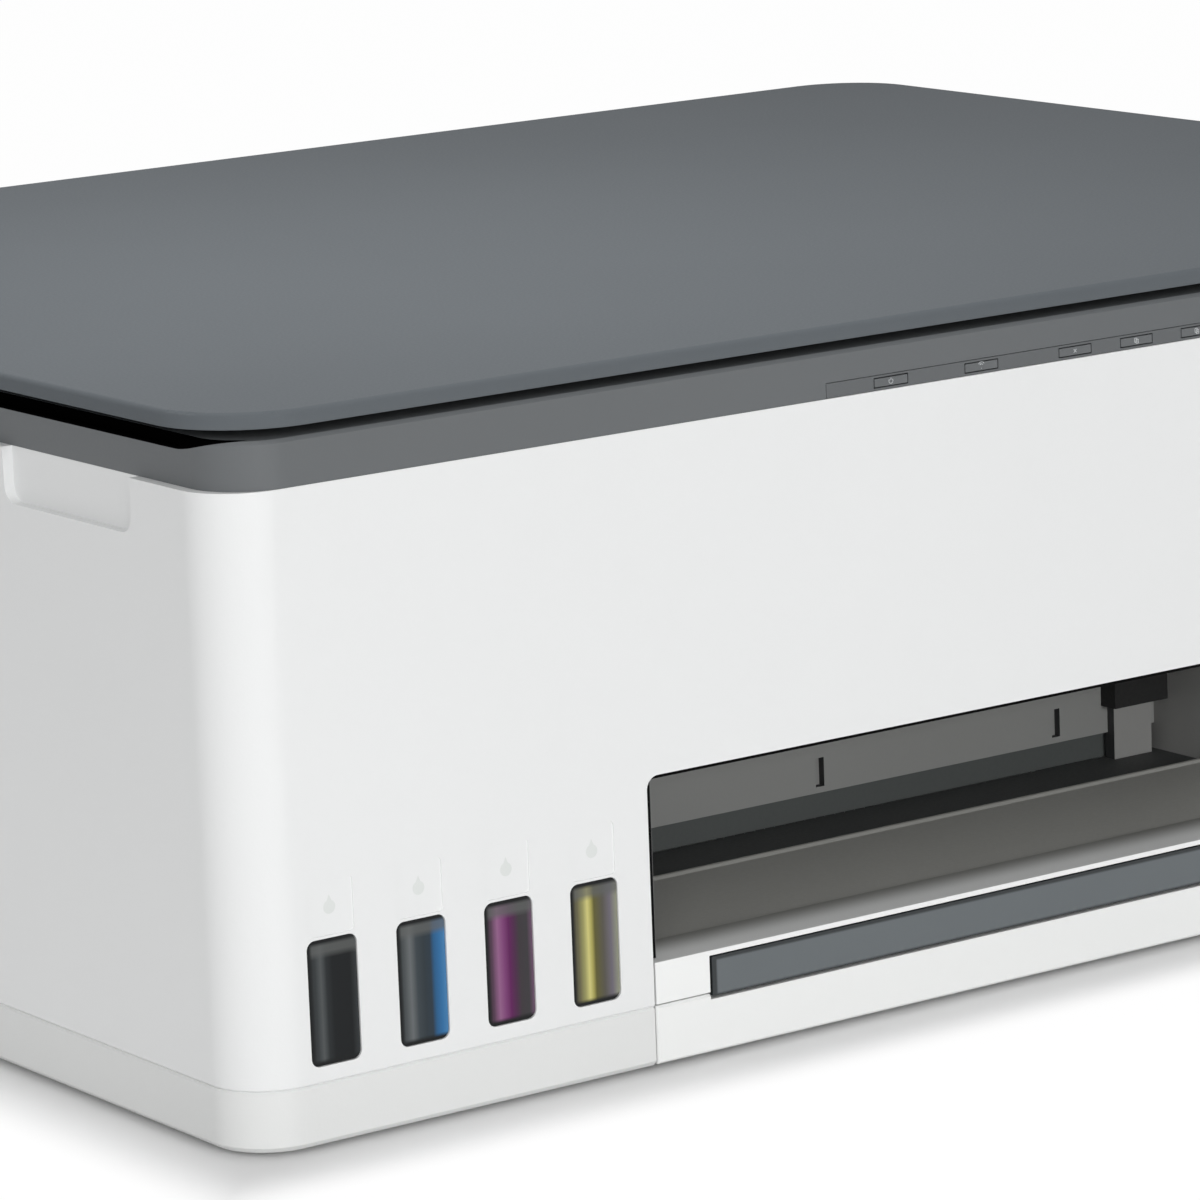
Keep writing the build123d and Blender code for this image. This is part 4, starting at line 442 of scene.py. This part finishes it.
FINISH = {
    # White ABS, spark eroded: a soft sheen with a grain drawn 0.8 mm wide so that it shows
    "case_white": moulded("white_abs_spark_eroded", "#ebecec", "#e8e9e9", (0.42, 0.55), 0.8, 0.03),
    "base_white": moulded("white_abs_base", "#e3e4e3", "#dfe0df", (0.45, 0.58), 0.8, 0.03),
    "tray_white": moulded("white_abs_tray", "#f2f3f2", "#eeefee", (0.42, 0.55), 0.8, 0.03),
    "lip_white": polished_lip(),
    # Grey ABS of the lid and band: satin, so that broad light slides over it
    "lid_grey": moulded("grey_abs_satin_lid", "#64696d", "#606569", (0.62, 0.74), 0.7, 0.02,
                        level=0.08),
    "band_grey": band_with_lid_shadow(),
    "strip_grey": moulded("dark_grey_abs_strip", "#5b5e60", "#575a5c", (0.4, 0.5), 0.6, 0.02),
    "button_grey": moulded("grey_abs_button", "#5f6264", "#5b5e60", (0.35, 0.45), 0.5, 0.01),
    "bar_grey": shadowed_bar(),
    # Tampo-printed marks: matt pale paint
    "mark_paint": moulded("pale_printed_mark", "#c9cccd", "#c4c7c8", (0.5, 0.6), 0.4, 0.01),
    "drop_paint": moulded("faint_printed_drop", "#e0e3e1", "#dcdfdd", (0.5, 0.6), 0.4, 0.01),
    # Carbon-filled polystyrene inside: nearly matt black-grey
    "dark_plastic": moulded("black_polystyrene", "#3a3b3c", "#353637", (0.5, 0.66), 0.9, 0.05),
    "bed_dark": moulded("grey_polystyrene_bed", "#bbbbb6", "#b4b4af", (0.4, 0.55), 0.9, 0.04),
    # Grey polystyrene round the output slot in lit and shaded greys: the wall's foot, the black
    # corner blocks and the shelf are painted shade
    "wall_low_shade": moulded("grey_polystyrene_wall_painted_shade", "#545857", "#4f5352", (0.45, 0.6), 0.9, 0.04),
    "wall_band": moulded("grey_polystyrene_band", "#9c9d9b", "#919290", (0.45, 0.6), 0.9, 0.04),
    "wall_side": moulded("grey_polystyrene_cheek", "#a5a5a3", "#a0a09e", (0.45, 0.6), 0.9, 0.04),
    "pillar_grey": moulded("grey_polystyrene_pillar", "#9c9c9a", "#979795", (0.45, 0.6), 0.9, 0.04),
    "corner_shade_black": moulded("painted_corner_shade", "#161616", "#131313", (0.6, 0.7), 0.9, 0.04),
    "shelf_shade_dark": moulded("grey_polystyrene_painted_shelf_shade", "#4a4c4c", "#464848", (0.6, 0.7), 0.9, 0.04),
    # Black sheet behind the output slot's edges: painted shadow
    "shadow_strip_black": moulded("painted_shadow_strip", "#0b0b0b", "#090909", (0.9, 1.0), 0.3, 0.05, level=0.1),
    "acetal": moulded("natural_acetal", "#dcd9cc", "#d6d2c4", (0.3, 0.42), 0.6, 0.02),
    "latch_blue": moulded("slate_blue_abs_latch", "#4c6377", "#475d70", (0.35, 0.46), 0.6, 0.02),
    "supply_black": moulded("black_polycarbonate", "#26272a", "#222326", (0.4, 0.52), 0.7, 0.03),
    "pad_white": moulded("white_foam_film", "#f2f2ef", "#eeeeeb", (0.5, 0.62), 2.2, 0.12),
    "black_cap": moulded("black_abs_cap", "#2b2c2e", "#27282a", (0.35, 0.46), 0.6, 0.02),
    "cyan_cap": moulded("cyan_abs_cap", "#1f7fb8", "#1b77ae", (0.35, 0.46), 0.6, 0.02),
    "magenta_cap": moulded("magenta_abs_cap", "#a53a78", "#9c3571", (0.35, 0.46), 0.6, 0.02),
    "yellow_cap": moulded("yellow_abs_cap", "#d8b52a", "#cfac25", (0.35, 0.46), 0.6, 0.02),
    # Liquid ink: dark, even and mirror smooth
    "black_ink": moulded("black_pigment_ink", "#16181a", "#131517", (0.06, 0.1), 3.0, 0.01, 1.35),
    "cyan_ink": moulded("cyan_dye_ink", "#14679c", "#115f92", (0.06, 0.1), 3.0, 0.01, 1.35),
    "magenta_ink": moulded("magenta_dye_ink", "#7a1f5c", "#701b54", (0.06, 0.1), 3.0, 0.01, 1.35),
    "yellow_ink": moulded("yellow_dye_ink", "#c9a71c", "#bf9e18", (0.06, 0.1), 3.0, 0.01, 1.35),
    "rubber": rubber("black_nitrile_rubber", "#242424"),
    "ground_steel": metal("ground_steel_rod", "#c9cacb", 0.18, 0.6, (1, 30, 30)),
    "plated_steel": metal("zinc_plated_can", "#b4b6b8", 0.3, 1.2),
    "black_screw": metal("black_oxide_screw", "#4a4a4c", 0.35, 0.8),
    "zinc": spangled_zinc(),
    "board": solder_mask(),
    "glass": clear("float_glass", "#c9d6d2", 0.09, 0.03),
    "frosted": clear("frosted_polypropylene_tank", "#b9bdbd", 0.5, 0.35),
    "tube": clear("clear_silicone_tube", "#8d9194", 0.7, 0.25),
}

# Nodes that keep their own mesh
NODE_FINISH = {
    "dark_plastic": ["scanner_base", "scan_bar", "engine_base", "turn_guide", "platen",
                     "tank_deck", "service_station", "carriage", "left_width_guide",
                     "right_width_guide", "pick_arm", "printheads", "cap_sled"],
    "acetal": ["guide_pinion", "motor_pulley", "drive_pulley", "idler_pulley"],
    "latch_blue": ["carriage_latch"],
    "supply_black": ["power_supply"],
    "pad_white": ["lid_pad"],
    "rubber": ["rubber_feet", "feed_roller", "pick_roller", "feed_belt", "carriage_belt",
               "exit_roller", "pinch_rollers"],
    "ground_steel": ["guide_rod", "scan_rod", "star_wheels", "usb_socket"],
    "plated_steel": ["carriage_motor", "feed_motor"],
    "zinc": ["engine_frame"],
    "board": ["main_board"],
    "glass": ["platen_glass"],
    "frosted": ["ink_tanks"],
    "tube": ["ink_tubes"],
}

# Nodes that get rounded edges, in millimetres
EASED = {
    "lid": ("lid_grey", 0.5), "scanner_bezel": ("band_grey", 0.35),
    "main_case": ("case_white", 0.3), "base_tub": ("base_white", 0.35),
    "output_lip": ("lip_white", 0.3), "output_bed": ("bed_dark", 0.25),
    "tray_extender": ("bar_grey", 0.4), "input_tray": ("tray_white", 0.35),
    "exit_housing": ("dark_plastic", 0.3), "control_panel": ("strip_grey", 0.1),
    "power_button": ("button_grey", 0.15), "wireless_button": ("button_grey", 0.15),
    "cancel_button": ("button_grey", 0.15), "mono_copy_button": ("button_grey", 0.15),
    "colour_copy_button": ("button_grey", 0.15), "rear_door": ("dark_plastic", 0.4),
    "black_cap": ("black_cap", 0.4), "cyan_cap": ("cyan_cap", 0.4),
    "magenta_cap": ("magenta_cap", 0.4), "yellow_cap": ("yellow_cap", 0.4),
}
BODY_OF = {node: piece["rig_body"] for node, piece in NODES.items()}


def dress_nodes():
    """Give every carried-over node its finish."""
    for finish, names in NODE_FINISH.items():
        for name in names:
            mesh = NODES[name].data
            mesh.materials.clear()
            mesh.materials.append(FINISH[finish])


# Modelling helpers

def deselect_all():
    """Start the next piece from a clean selection."""
    if bpy.context.object and bpy.context.object.mode != "OBJECT":
        bpy.ops.object.mode_set(mode="OBJECT")
    bpy.ops.object.select_all(action="DESELECT")


def make_active(piece):
    """Select one piece alone."""
    deselect_all()
    piece.select_set(True)
    bpy.context.view_layer.objects.active = piece


def set_origin_home(piece):
    """Put the piece's place, turn and scale in its mesh."""
    make_active(piece)
    bpy.ops.object.transform_apply(location=True, rotation=True, scale=True)


def select_faces(piece, chosen):
    """In edit mode, select the faces whose centre and normal pass the test."""
    bpy.ops.mesh.select_all(action="DESELECT")
    bpy.ops.object.mode_set(mode="OBJECT")
    for face in piece.data.polygons:
        face.select = chosen(face.center, face.normal)
    bpy.ops.object.mode_set(mode="EDIT")


def seat(piece, name, body, finish, replaced=()):
    """Name a finished piece, give it its finish and let it ride on its body."""
    piece.name = name
    piece.data.name = name
    piece.data.materials.clear()
    piece.data.materials.append(FINISH[finish])
    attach(piece, body)
    if replaced:
        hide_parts(*replaced)
    return piece


def rounded_copy(node, edge_round):
    """A node's own shape with its loose triangles merged and its edges rounded."""
    piece = NODES[node].copy()
    piece.data = NODES[node].data.copy()
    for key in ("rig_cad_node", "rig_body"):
        if key in piece:
            del piece[key]
    piece.parent = None
    bpy.context.scene.collection.objects.link(piece)
    make_active(piece)
    bpy.ops.mesh.customdata_custom_splitnormals_clear()
    bpy.ops.object.mode_set(mode="EDIT")
    bpy.ops.mesh.select_all(action="SELECT")
    bpy.ops.mesh.remove_doubles(threshold=MERGE_DISTANCE)
    bpy.ops.mesh.dissolve_limited(angle_limit=radians(PLANE_ANGLE))
    bpy.ops.object.mode_set(mode="OBJECT")
    bevel = piece.modifiers.new("eased_edges", "BEVEL")
    bevel.width = edge_round * MM
    bevel.segments = 2
    bevel.limit_method = "ANGLE"
    bevel.angle_limit = radians(CORNER_ANGLE)
    bevel.miter_outer = "MITER_ARC"
    bevel.use_clamp_overlap = True
    bpy.ops.object.modifier_apply(modifier=bevel.name)
    bpy.ops.object.shade_smooth_by_angle(angle=radians(CORNER_ANGLE))
    flat = piece.modifiers.new("flat_broad_faces", "WEIGHTED_NORMAL")
    flat.keep_sharp = True
    flat.weight = 100
    bpy.ops.object.modifier_apply(modifier=flat.name)
    return piece


def eased_copy(node, finish, edge_round):
    """A node's rounded copy, in the node's place."""
    piece = rounded_copy(node, edge_round)
    return seat(piece, node + "_moulding", BODY_OF[node], finish, [node])


def split_by_place(piece):
    """Part a piece into its loose solids, from left to right."""
    make_active(piece)
    bpy.ops.object.mode_set(mode="EDIT")
    bpy.ops.mesh.select_all(action="SELECT")
    bpy.ops.mesh.separate(type="LOOSE")
    bpy.ops.object.mode_set(mode="OBJECT")
    return sorted(bpy.context.selected_objects,
                  key=lambda part: min(corner.co.x for corner in part.data.vertices))


def paint_faces(piece, finish, chosen):
    """Give the faces that pass the test a finish of their own."""
    piece.data.materials.append(FINISH[finish])
    number = len(piece.data.materials) - 1
    for face in piece.data.polygons:
        if chosen(face.center, face.normal):
            face.material_index = number


# Ink windows, inks and labels

def add_windows():
    """Four smoky panes and, behind them, the four inks in their tanks."""
    panes = split_by_place(rounded_copy("tank_windows", 0.3))
    for number, (ink, pane) in enumerate(zip(INKS, panes)):
        FINISH[ink + "_pane"] = smoky_pane(ink, FIRST_PANE + number * PANE_PITCH)
        seat(pane, ink + "_window", BODY_OF["tank_windows"], ink + "_pane",
             ["tank_windows"])
    fills = split_by_place(rounded_copy("ink_fills", 0.3))
    for ink, fill in zip(INKS, fills):
        seat(fill, ink + "_ink", BODY_OF["ink_fills"], ink + "_ink", ["ink_fills"])


def add_label_drops():
    """A faint printed drop in each label field, the same for every colour."""
    depth = FRONT + LABEL_DEPTH + DROP_THICKNESS / 2
    for number, ink in enumerate(INKS):
        middle = Vector((FIRST_PANE + number * PANE_PITCH, depth, LABEL_MIDDLE))
        deselect_all()
        bpy.ops.mesh.primitive_circle_add(vertices=16, radius=DROP_RADIUS, fill_type="NGON",
                                          location=middle, rotation=(pi / 2, 0, 0))
        drop = bpy.context.object
        set_origin_home(drop)
        bpy.ops.object.mode_set(mode="EDIT")
        bpy.ops.mesh.select_all(action="DESELECT")
        bpy.ops.object.mode_set(mode="OBJECT")
        for corner in drop.data.vertices:
            corner.select = corner.co.z > middle.z + 0.98 * DROP_RADIUS
        bpy.ops.object.mode_set(mode="EDIT")
        bpy.ops.transform.translate(value=(0, 0, 0.8 * DROP_RADIUS))
        bpy.ops.mesh.select_all(action="SELECT")
        bpy.ops.mesh.extrude_region_move(
            TRANSFORM_OT_translate={"value": (0, -DROP_THICKNESS, 0)})
        bpy.ops.mesh.select_all(action="SELECT")
        bpy.ops.mesh.normals_make_consistent(inside=False)
        bpy.ops.object.mode_set(mode="OBJECT")
        seat(drop, ink + "_label_drop", "case", "drop_paint")


# Output slot

def add_output_tones():
    """The walls round the output bed get lit and shaded greys of one plastic by place: a lighter
    band, cheeks and pillars, and painted shade low on the back wall, on the bed's rear shelf and,
    black, above the pillars.
    """
    bed = bpy.data.objects["output_bed_moulding"]
    housing = bpy.data.objects["exit_housing_moulding"]
    back = max(corner.co.y for corner in housing.data.vertices if corner.co.z < 0.03)
    half = LIP_HIGH.x - CHEEK_INSET

    def in_corner(centre, reach):
        """Whether a face belongs to what stands in a rear corner of the slot."""
        return (back - 12 * MM < centre.y < back - 5.5 * MM
                and half - reach < abs(centre.x) < half - 1 * MM)

    # Painted shade: the bed's rear shelf, the back wall's foot and the rear corners above the
    # pillars are darkened
    paint_faces(bed, "shelf_shade_dark", lambda c, n: n.z > 0.9 and c.y > BED_HIGH.y - SHELF_DEPTH
                and c.z > BED_HIGH.z - SHELF_DROP)
    paint_faces(housing, "wall_low_shade", lambda c, n: n.y < -0.5 and c.y > back - 3 * MM
                and c.z < WALL_BAND_BOTTOM + 0.5 * MM)
    paint_faces(housing, "wall_band", lambda c, n: n.y < -0.5 and c.y > back - 8 * MM
                and c.z > WALL_BAND_BOTTOM)
    paint_faces(housing, "wall_side", lambda c, n: abs(n.x) > 0.25 and c.x * n.x < 0
                and abs(c.x) > half - 1 * MM)
    paint_faces(housing, "pillar_grey",
                lambda c, n: c.z < PILLAR_TOP and in_corner(c, PILLAR_REACH))
    paint_faces(housing, "corner_shade_black",
                lambda c, n: c.z > PILLAR_TOP - 0.4 * MM and in_corner(c, CORNER_SHADE_REACH))


def add_opening_shadow_strip():
    """The black strip of painted shadow round the slot's edges, extruded up, across and down from
    its left leg.
    """
    half = LIP_HIGH.x + SHADOW_STRIP_OVERLAP
    bottom = LIP_HIGH.z + SHADOW_STRIP_LIFT
    shoulder = SHADOW_STRIP_TOP - SHADOW_STRIP_WIDTH
    deselect_all()
    bpy.ops.mesh.primitive_cube_add(
        size=1, location=(SHADOW_STRIP_WIDTH / 2 - half, SHADOW_STRIP_DEPTH, (bottom + shoulder) / 2),
        scale=(SHADOW_STRIP_WIDTH, SHADOW_STRIP_THICKNESS, shoulder - bottom))
    painted_shadow = bpy.context.object
    set_origin_home(painted_shadow)
    bpy.ops.object.mode_set(mode="EDIT")
    bpy.ops.mesh.select_mode(type="FACE")
    select_faces(painted_shadow, lambda c, n: n.z > 0.9)
    bpy.ops.mesh.extrude_region_move(TRANSFORM_OT_translate={"value": (0, 0, SHADOW_STRIP_WIDTH)})
    for length in (2 * (half - SHADOW_STRIP_WIDTH), SHADOW_STRIP_WIDTH):
        bpy.ops.object.mode_set(mode="OBJECT")
        reach = max(corner.co.x for corner in painted_shadow.data.vertices)
        bpy.ops.object.mode_set(mode="EDIT")
        select_faces(painted_shadow, lambda c, n: n.x > 0.9 and c.x > reach - 0.1 * MM
                     and c.z > shoulder)
        bpy.ops.mesh.extrude_region_move(TRANSFORM_OT_translate={"value": (length, 0, 0)})
    select_faces(painted_shadow, lambda c, n: n.z < -0.9 and c.x > half - SHADOW_STRIP_WIDTH)
    bpy.ops.mesh.extrude_region_move(
        TRANSFORM_OT_translate={"value": (0, 0, bottom - shoulder)})
    bpy.ops.mesh.select_all(action="SELECT")
    bpy.ops.mesh.bevel(offset=SHADOW_STRIP_EDGE, segments=2, affect="EDGES")
    bpy.ops.object.mode_set(mode="OBJECT")
    seat(painted_shadow, "opening_shadow_strip", "case", "shadow_strip_black")


# Small printed marks and screws

def add_stroke(middle, length, width, turn):
    """One printed stroke on a button's face, a flat bar with rounded ends."""
    deselect_all()
    bpy.ops.mesh.primitive_cube_add(size=1, location=middle, rotation=(0, turn, 0),
                                    scale=(length, PRINT_THICKNESS, width))
    stroke = bpy.context.object
    set_origin_home(stroke)
    bpy.ops.object.mode_set(mode="EDIT")
    bpy.ops.mesh.select_all(action="SELECT")
    bpy.ops.mesh.bevel(offset=PRINT_EDGE, segments=2, affect="EDGES")
    bpy.ops.object.mode_set(mode="OBJECT")
    return stroke


def polygon_strokes(sides, radius, skipped=()):
    """Strokes that follow a ring, without those that are skipped."""
    reach = 2 * radius * sin(pi / sides)
    return [(radius * sin(2 * pi * side / sides), radius * cos(2 * pi * side / sides), reach,
             2 * pi * side / sides) for side in range(sides) if side not in skipped]


def sheet_strokes(x, z, width, height):
    """Strokes round a small upright sheet."""
    return [(x, z + height / 2, width, 0), (x, z - height / 2, width, 0),
            (x - width / 2, z, height, pi / 2), (x + width / 2, z, height, pi / 2)]


# Each mark's strokes: across, up, length in millimetres, and turn
BUTTON_MARKS = {
    "power_button": polygon_strokes(12, 0.55, (11, 0, 1)) + [(0, 0.45, 0.55, pi / 2)],
    "wireless_button": [(0, -0.5, 0.2, 0)] + polygon_strokes(16, 0.5, range(3, 14))
    + polygon_strokes(16, 0.95, range(3, 14)),
    "cancel_button": [(0, 0, 1.1, pi / 4), (0, 0, 1.1, -pi / 4)],
    "mono_copy_button": sheet_strokes(-0.2, 0.15, 0.7, 0.9) + sheet_strokes(0.2, -0.15, 0.7, 0.9),
    "colour_copy_button": sheet_strokes(-0.2, 0.15, 0.7, 0.9) + sheet_strokes(0.2, -0.15, 0.7, 0.9)
    + [(0.2, -0.15, 0.3, 0)],
}


def add_button_marks():
    """A generic printed mark let into each button's face, which presses in with it."""
    for node, strokes in BUTTON_MARKS.items():
        low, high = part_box(node)
        middle = (low + high) / 2
        cap = bpy.data.objects[node + "_moulding"]
        make_active(cap)
        bpy.ops.object.mode_set(mode="EDIT")
        select_faces(cap, lambda c, n: n.y < -0.9 and c.y < low.y + 0.01 * MM)
        bpy.ops.transform.translate(value=(0, MARK_INLAY, 0))
        bpy.ops.object.mode_set(mode="OBJECT")
        parts = [add_stroke(Vector((middle.x + x * MM, low.y + MARK_INLAY, middle.z + z * MM)),
                            length * MM, MARK_WIDTH, turn) for x, z, length, turn in strokes]
        make_active(parts[0])
        for part in parts:
            part.select_set(True)
        bpy.ops.object.join()
        seat(bpy.context.object, node + "_mark", BODY_OF[node], "mark_paint")


def model_screw(radius, height):
    """A pan-head screw whose head points up, with a driver recess; its foot is at Z 0."""
    deselect_all()
    bpy.ops.mesh.primitive_cylinder_add(vertices=24, radius=radius, depth=height,
                                        location=(0, 0, height / 2))
    screw = bpy.context.object
    set_origin_home(screw)
    bpy.ops.object.mode_set(mode="EDIT")
    bpy.ops.mesh.select_mode(type="FACE")
    select_faces(screw, lambda c, n: n.z > 0.9)
    bpy.ops.mesh.bevel(offset=0.45 * height, segments=3, affect="EDGES")
    select_faces(screw, lambda c, n: n.z > 0.99 and c.z > 0.98 * height)
    bpy.ops.mesh.inset(thickness=0.3 * radius)
    bpy.ops.mesh.extrude_region_move(TRANSFORM_OT_translate={"value": (0, 0, -0.5 * height)})
    bpy.ops.transform.resize(value=(0.7, 0.7, 1))
    bpy.ops.object.mode_set(mode="OBJECT")
    bpy.ops.object.shade_smooth_by_angle(angle=radians(35))
    return screw


def place_screws(name, radius, height, places, turn):
    """Copies of one screw at each place, each with its own mesh, turned to face outwards."""
    screw = model_screw(radius * MM, height * MM)
    for number, place in enumerate(places):
        piece = screw.copy()
        piece.data = screw.data.copy()
        bpy.context.scene.collection.objects.link(piece)
        piece.location = place
        piece.rotation_euler = turn
        set_origin_home(piece)
        seat(piece, f"{name}_{number + 1}", "case", "black_screw")
    bpy.data.objects.remove(screw)


def add_screws():
    """Four screws in the rear wall and six under the base."""
    sink = 0.2 * MM
    rear = [Vector((x * MM, BASE_HIGH.y - sink, z * MM)) for x in (-140, 140) for z in (30, 112)]
    place_screws("rear_screw", 3.2, 1.6, rear, (-pi / 2, 0, 0))
    under = [Vector((x * MM, y * MM, BASE_LOW.z + sink))
             for x in (-165, 0, 165) for y in (-130, 120)]
    place_screws("base_screw", 3.0, 1.2, under, (pi, 0, 0))


def add_glass_marks():
    """A small arrow at the glass corner and sheet size ticks along its left side."""
    corner = Vector((GLASS_LOW.x, GLASS_HIGH.y, BAND_HIGH.z))
    deselect_all()
    bpy.ops.mesh.primitive_cylinder_add(vertices=3, radius=3.2 * MM, depth=PRINT_THICKNESS,
                                        location=corner + Vector((-5 * MM, 5 * MM, 0)),
                                        rotation=(0, 0, radians(165)))
    arrow = bpy.context.object
    set_origin_home(arrow)
    bpy.ops.object.mode_set(mode="EDIT")
    bpy.ops.mesh.select_all(action="SELECT")
    bpy.ops.mesh.bevel(offset=PRINT_EDGE, segments=2, affect="EDGES")
    bpy.ops.object.mode_set(mode="OBJECT")
    seat(arrow, "glass_corner_arrow", BODY_OF["scanner_bezel"], "mark_paint")
    for number, reach in enumerate(SHEET_MARKS):
        tick = add_flat_tick(corner + Vector((-3.5 * MM, -reach * MM, 0)))
        seat(tick, f"glass_size_tick_{number + 1}", BODY_OF["scanner_bezel"], "mark_paint")


def add_flat_tick(middle):
    """A flat printed tick beside the glass."""
    deselect_all()
    bpy.ops.mesh.primitive_cube_add(size=1, location=middle,
                                    scale=(3 * MM, 0.4 * MM, PRINT_THICKNESS))
    tick = bpy.context.object
    set_origin_home(tick)
    bpy.ops.object.mode_set(mode="EDIT")
    bpy.ops.mesh.select_all(action="SELECT")
    bpy.ops.mesh.bevel(offset=PRINT_EDGE, segments=2, affect="EDGES")
    bpy.ops.object.mode_set(mode="OBJECT")
    return tick


# Light and floor

FLOOR_REACH = 6.0
WORLD_STRENGTH = 0.33
BACKGROUND = 0.985
FLOOR_GLOW = 0.94
FLOOR_STRENGTH = 1.03
CONTACT_REACH = 26 * MM
LAMP_SPREAD = 160


def add_area(name, place, aim, size, power):
    """A soft square lamp that looks at a point."""
    lamp = bpy.data.lights.new(name, "AREA")
    lamp.energy = power
    lamp.size = size
    lamp.spread = radians(LAMP_SPREAD)
    holder = bpy.data.objects.new(name, lamp)
    bpy.context.scene.collection.objects.link(holder)
    holder.location = place
    holder.rotation_euler = (Vector(aim) - Vector(place)).to_track_quat("-Z", "Y").to_euler()


def seen_directly(tree):
    """1 for camera, glossy and transmitted rays, which see the pale studio."""
    path = add_node(tree, "ShaderNodeLightPath").outputs
    first = add_node(tree, "ShaderNodeMath", {0: path["Is Camera Ray"], 1: path["Is Glossy Ray"]},
                     operation="MAXIMUM")
    second = add_node(tree, "ShaderNodeMath", {0: first.outputs[0],
                                               1: path["Is Transmission Ray"]},
                      operation="MAXIMUM")
    return second.outputs[0]


def add_sky():
    """An even sky: pale where it is seen, dimmer where it lights."""
    world = bpy.data.worlds.new("studio_sky")
    bpy.context.scene.world = world
    world.use_nodes = True
    tree = world.node_tree
    tree.nodes.clear()
    strength = add_node(tree, "ShaderNodeMix", {0: seen_directly(tree), 2: WORLD_STRENGTH,
                                                3: BACKGROUND}, data_type="FLOAT")
    sky = add_node(tree, "ShaderNodeBackground", {"Color": (1, 1, 1, 1),
                                                  "Strength": strength.outputs[0]})
    add_node(tree, "ShaderNodeOutputWorld", {"Surface": sky.outputs[0]})


def add_floor():
    """A pale floor that shows the printer's shadow close to its base."""
    deselect_all()
    bpy.ops.mesh.primitive_plane_add(size=2 * FLOOR_REACH, location=(0, 0, 0))
    floor = bpy.context.object
    floor.name = "studio_floor"
    material, tree, place = start_material("pale_floor")
    paper = add_node(tree, "ShaderNodeBsdfDiffuse", {"Color": linear("#f4f4f4")})
    glow = add_node(tree, "ShaderNodeEmission", {"Color": (1, 1, 1, 1),
                                                 "Strength": FLOOR_STRENGTH})
    half = Vector((BASE_HIGH.x, (BASE_HIGH.y - BASE_LOW.y) / 2, 0))
    middle = (BASE_HIGH.y + BASE_LOW.y) / 2
    centred = add_node(tree, "ShaderNodeVectorMath", {0: place, 1: (0, -middle, 0)})
    reach = add_node(tree, "ShaderNodeVectorMath", {0: centred.outputs[0]}, operation="ABSOLUTE")
    beyond = add_node(tree, "ShaderNodeVectorMath", {0: reach.outputs[0], 1: half},
                      operation="SUBTRACT")
    out = add_node(tree, "ShaderNodeSeparateXYZ", {0: beyond.outputs[0]}).outputs
    away = add_node(tree, "ShaderNodeMath", {0: out[0], 1: out[1]}, operation="MAXIMUM")
    open_floor = add_node(tree, "ShaderNodeMapRange", {
        0: away.outputs[0], 1: 0.0, 2: CONTACT_REACH, 3: 0.0, 4: FLOOR_GLOW},
        interpolation_type="SMOOTHSTEP")
    share = add_node(tree, "ShaderNodeMath", {0: seen_directly(tree), 1: open_floor.outputs[0]},
                     operation="MULTIPLY")
    mixed = add_node(tree, "ShaderNodeMixShader", {0: share.outputs[0], 1: paper.outputs[0],
                                                   2: glow.outputs[0]})
    close_material(tree, mixed)
    floor.data.materials.append(material)


def add_lamps():
    """Four soft lamps: at the near corner, low in front, from the left and over the lid."""
    add_area("corner_key", (-1.45, -2.2, 1.15), aim=(0, -0.1, 0.08), size=1.2, power=13.5)
    add_area("left_fill", (-2.4, -0.9, 0.9), aim=(0, -0.05, 0.08), size=1.2, power=6)
    add_area("low_front", (-0.2, -2.3, 0.45), aim=(0, -0.1, 0.05), size=0.6, power=10.5)
    add_area("top_soft", (-0.12, -0.03, 0.52), aim=(-0.1, -0.03, 0.15), size=0.25, power=0.75)


add_camera()
dress_nodes()
for node, (finish, edge_round) in EASED.items():
    eased_copy(node, finish, edge_round)
add_windows()
add_label_drops()
add_output_tones()
add_opening_shadow_strip()
add_button_marks()
add_screws()
add_glass_marks()
add_sky()
add_floor()
add_lamps()

bpy.context.scene.view_settings.view_transform = "Standard"
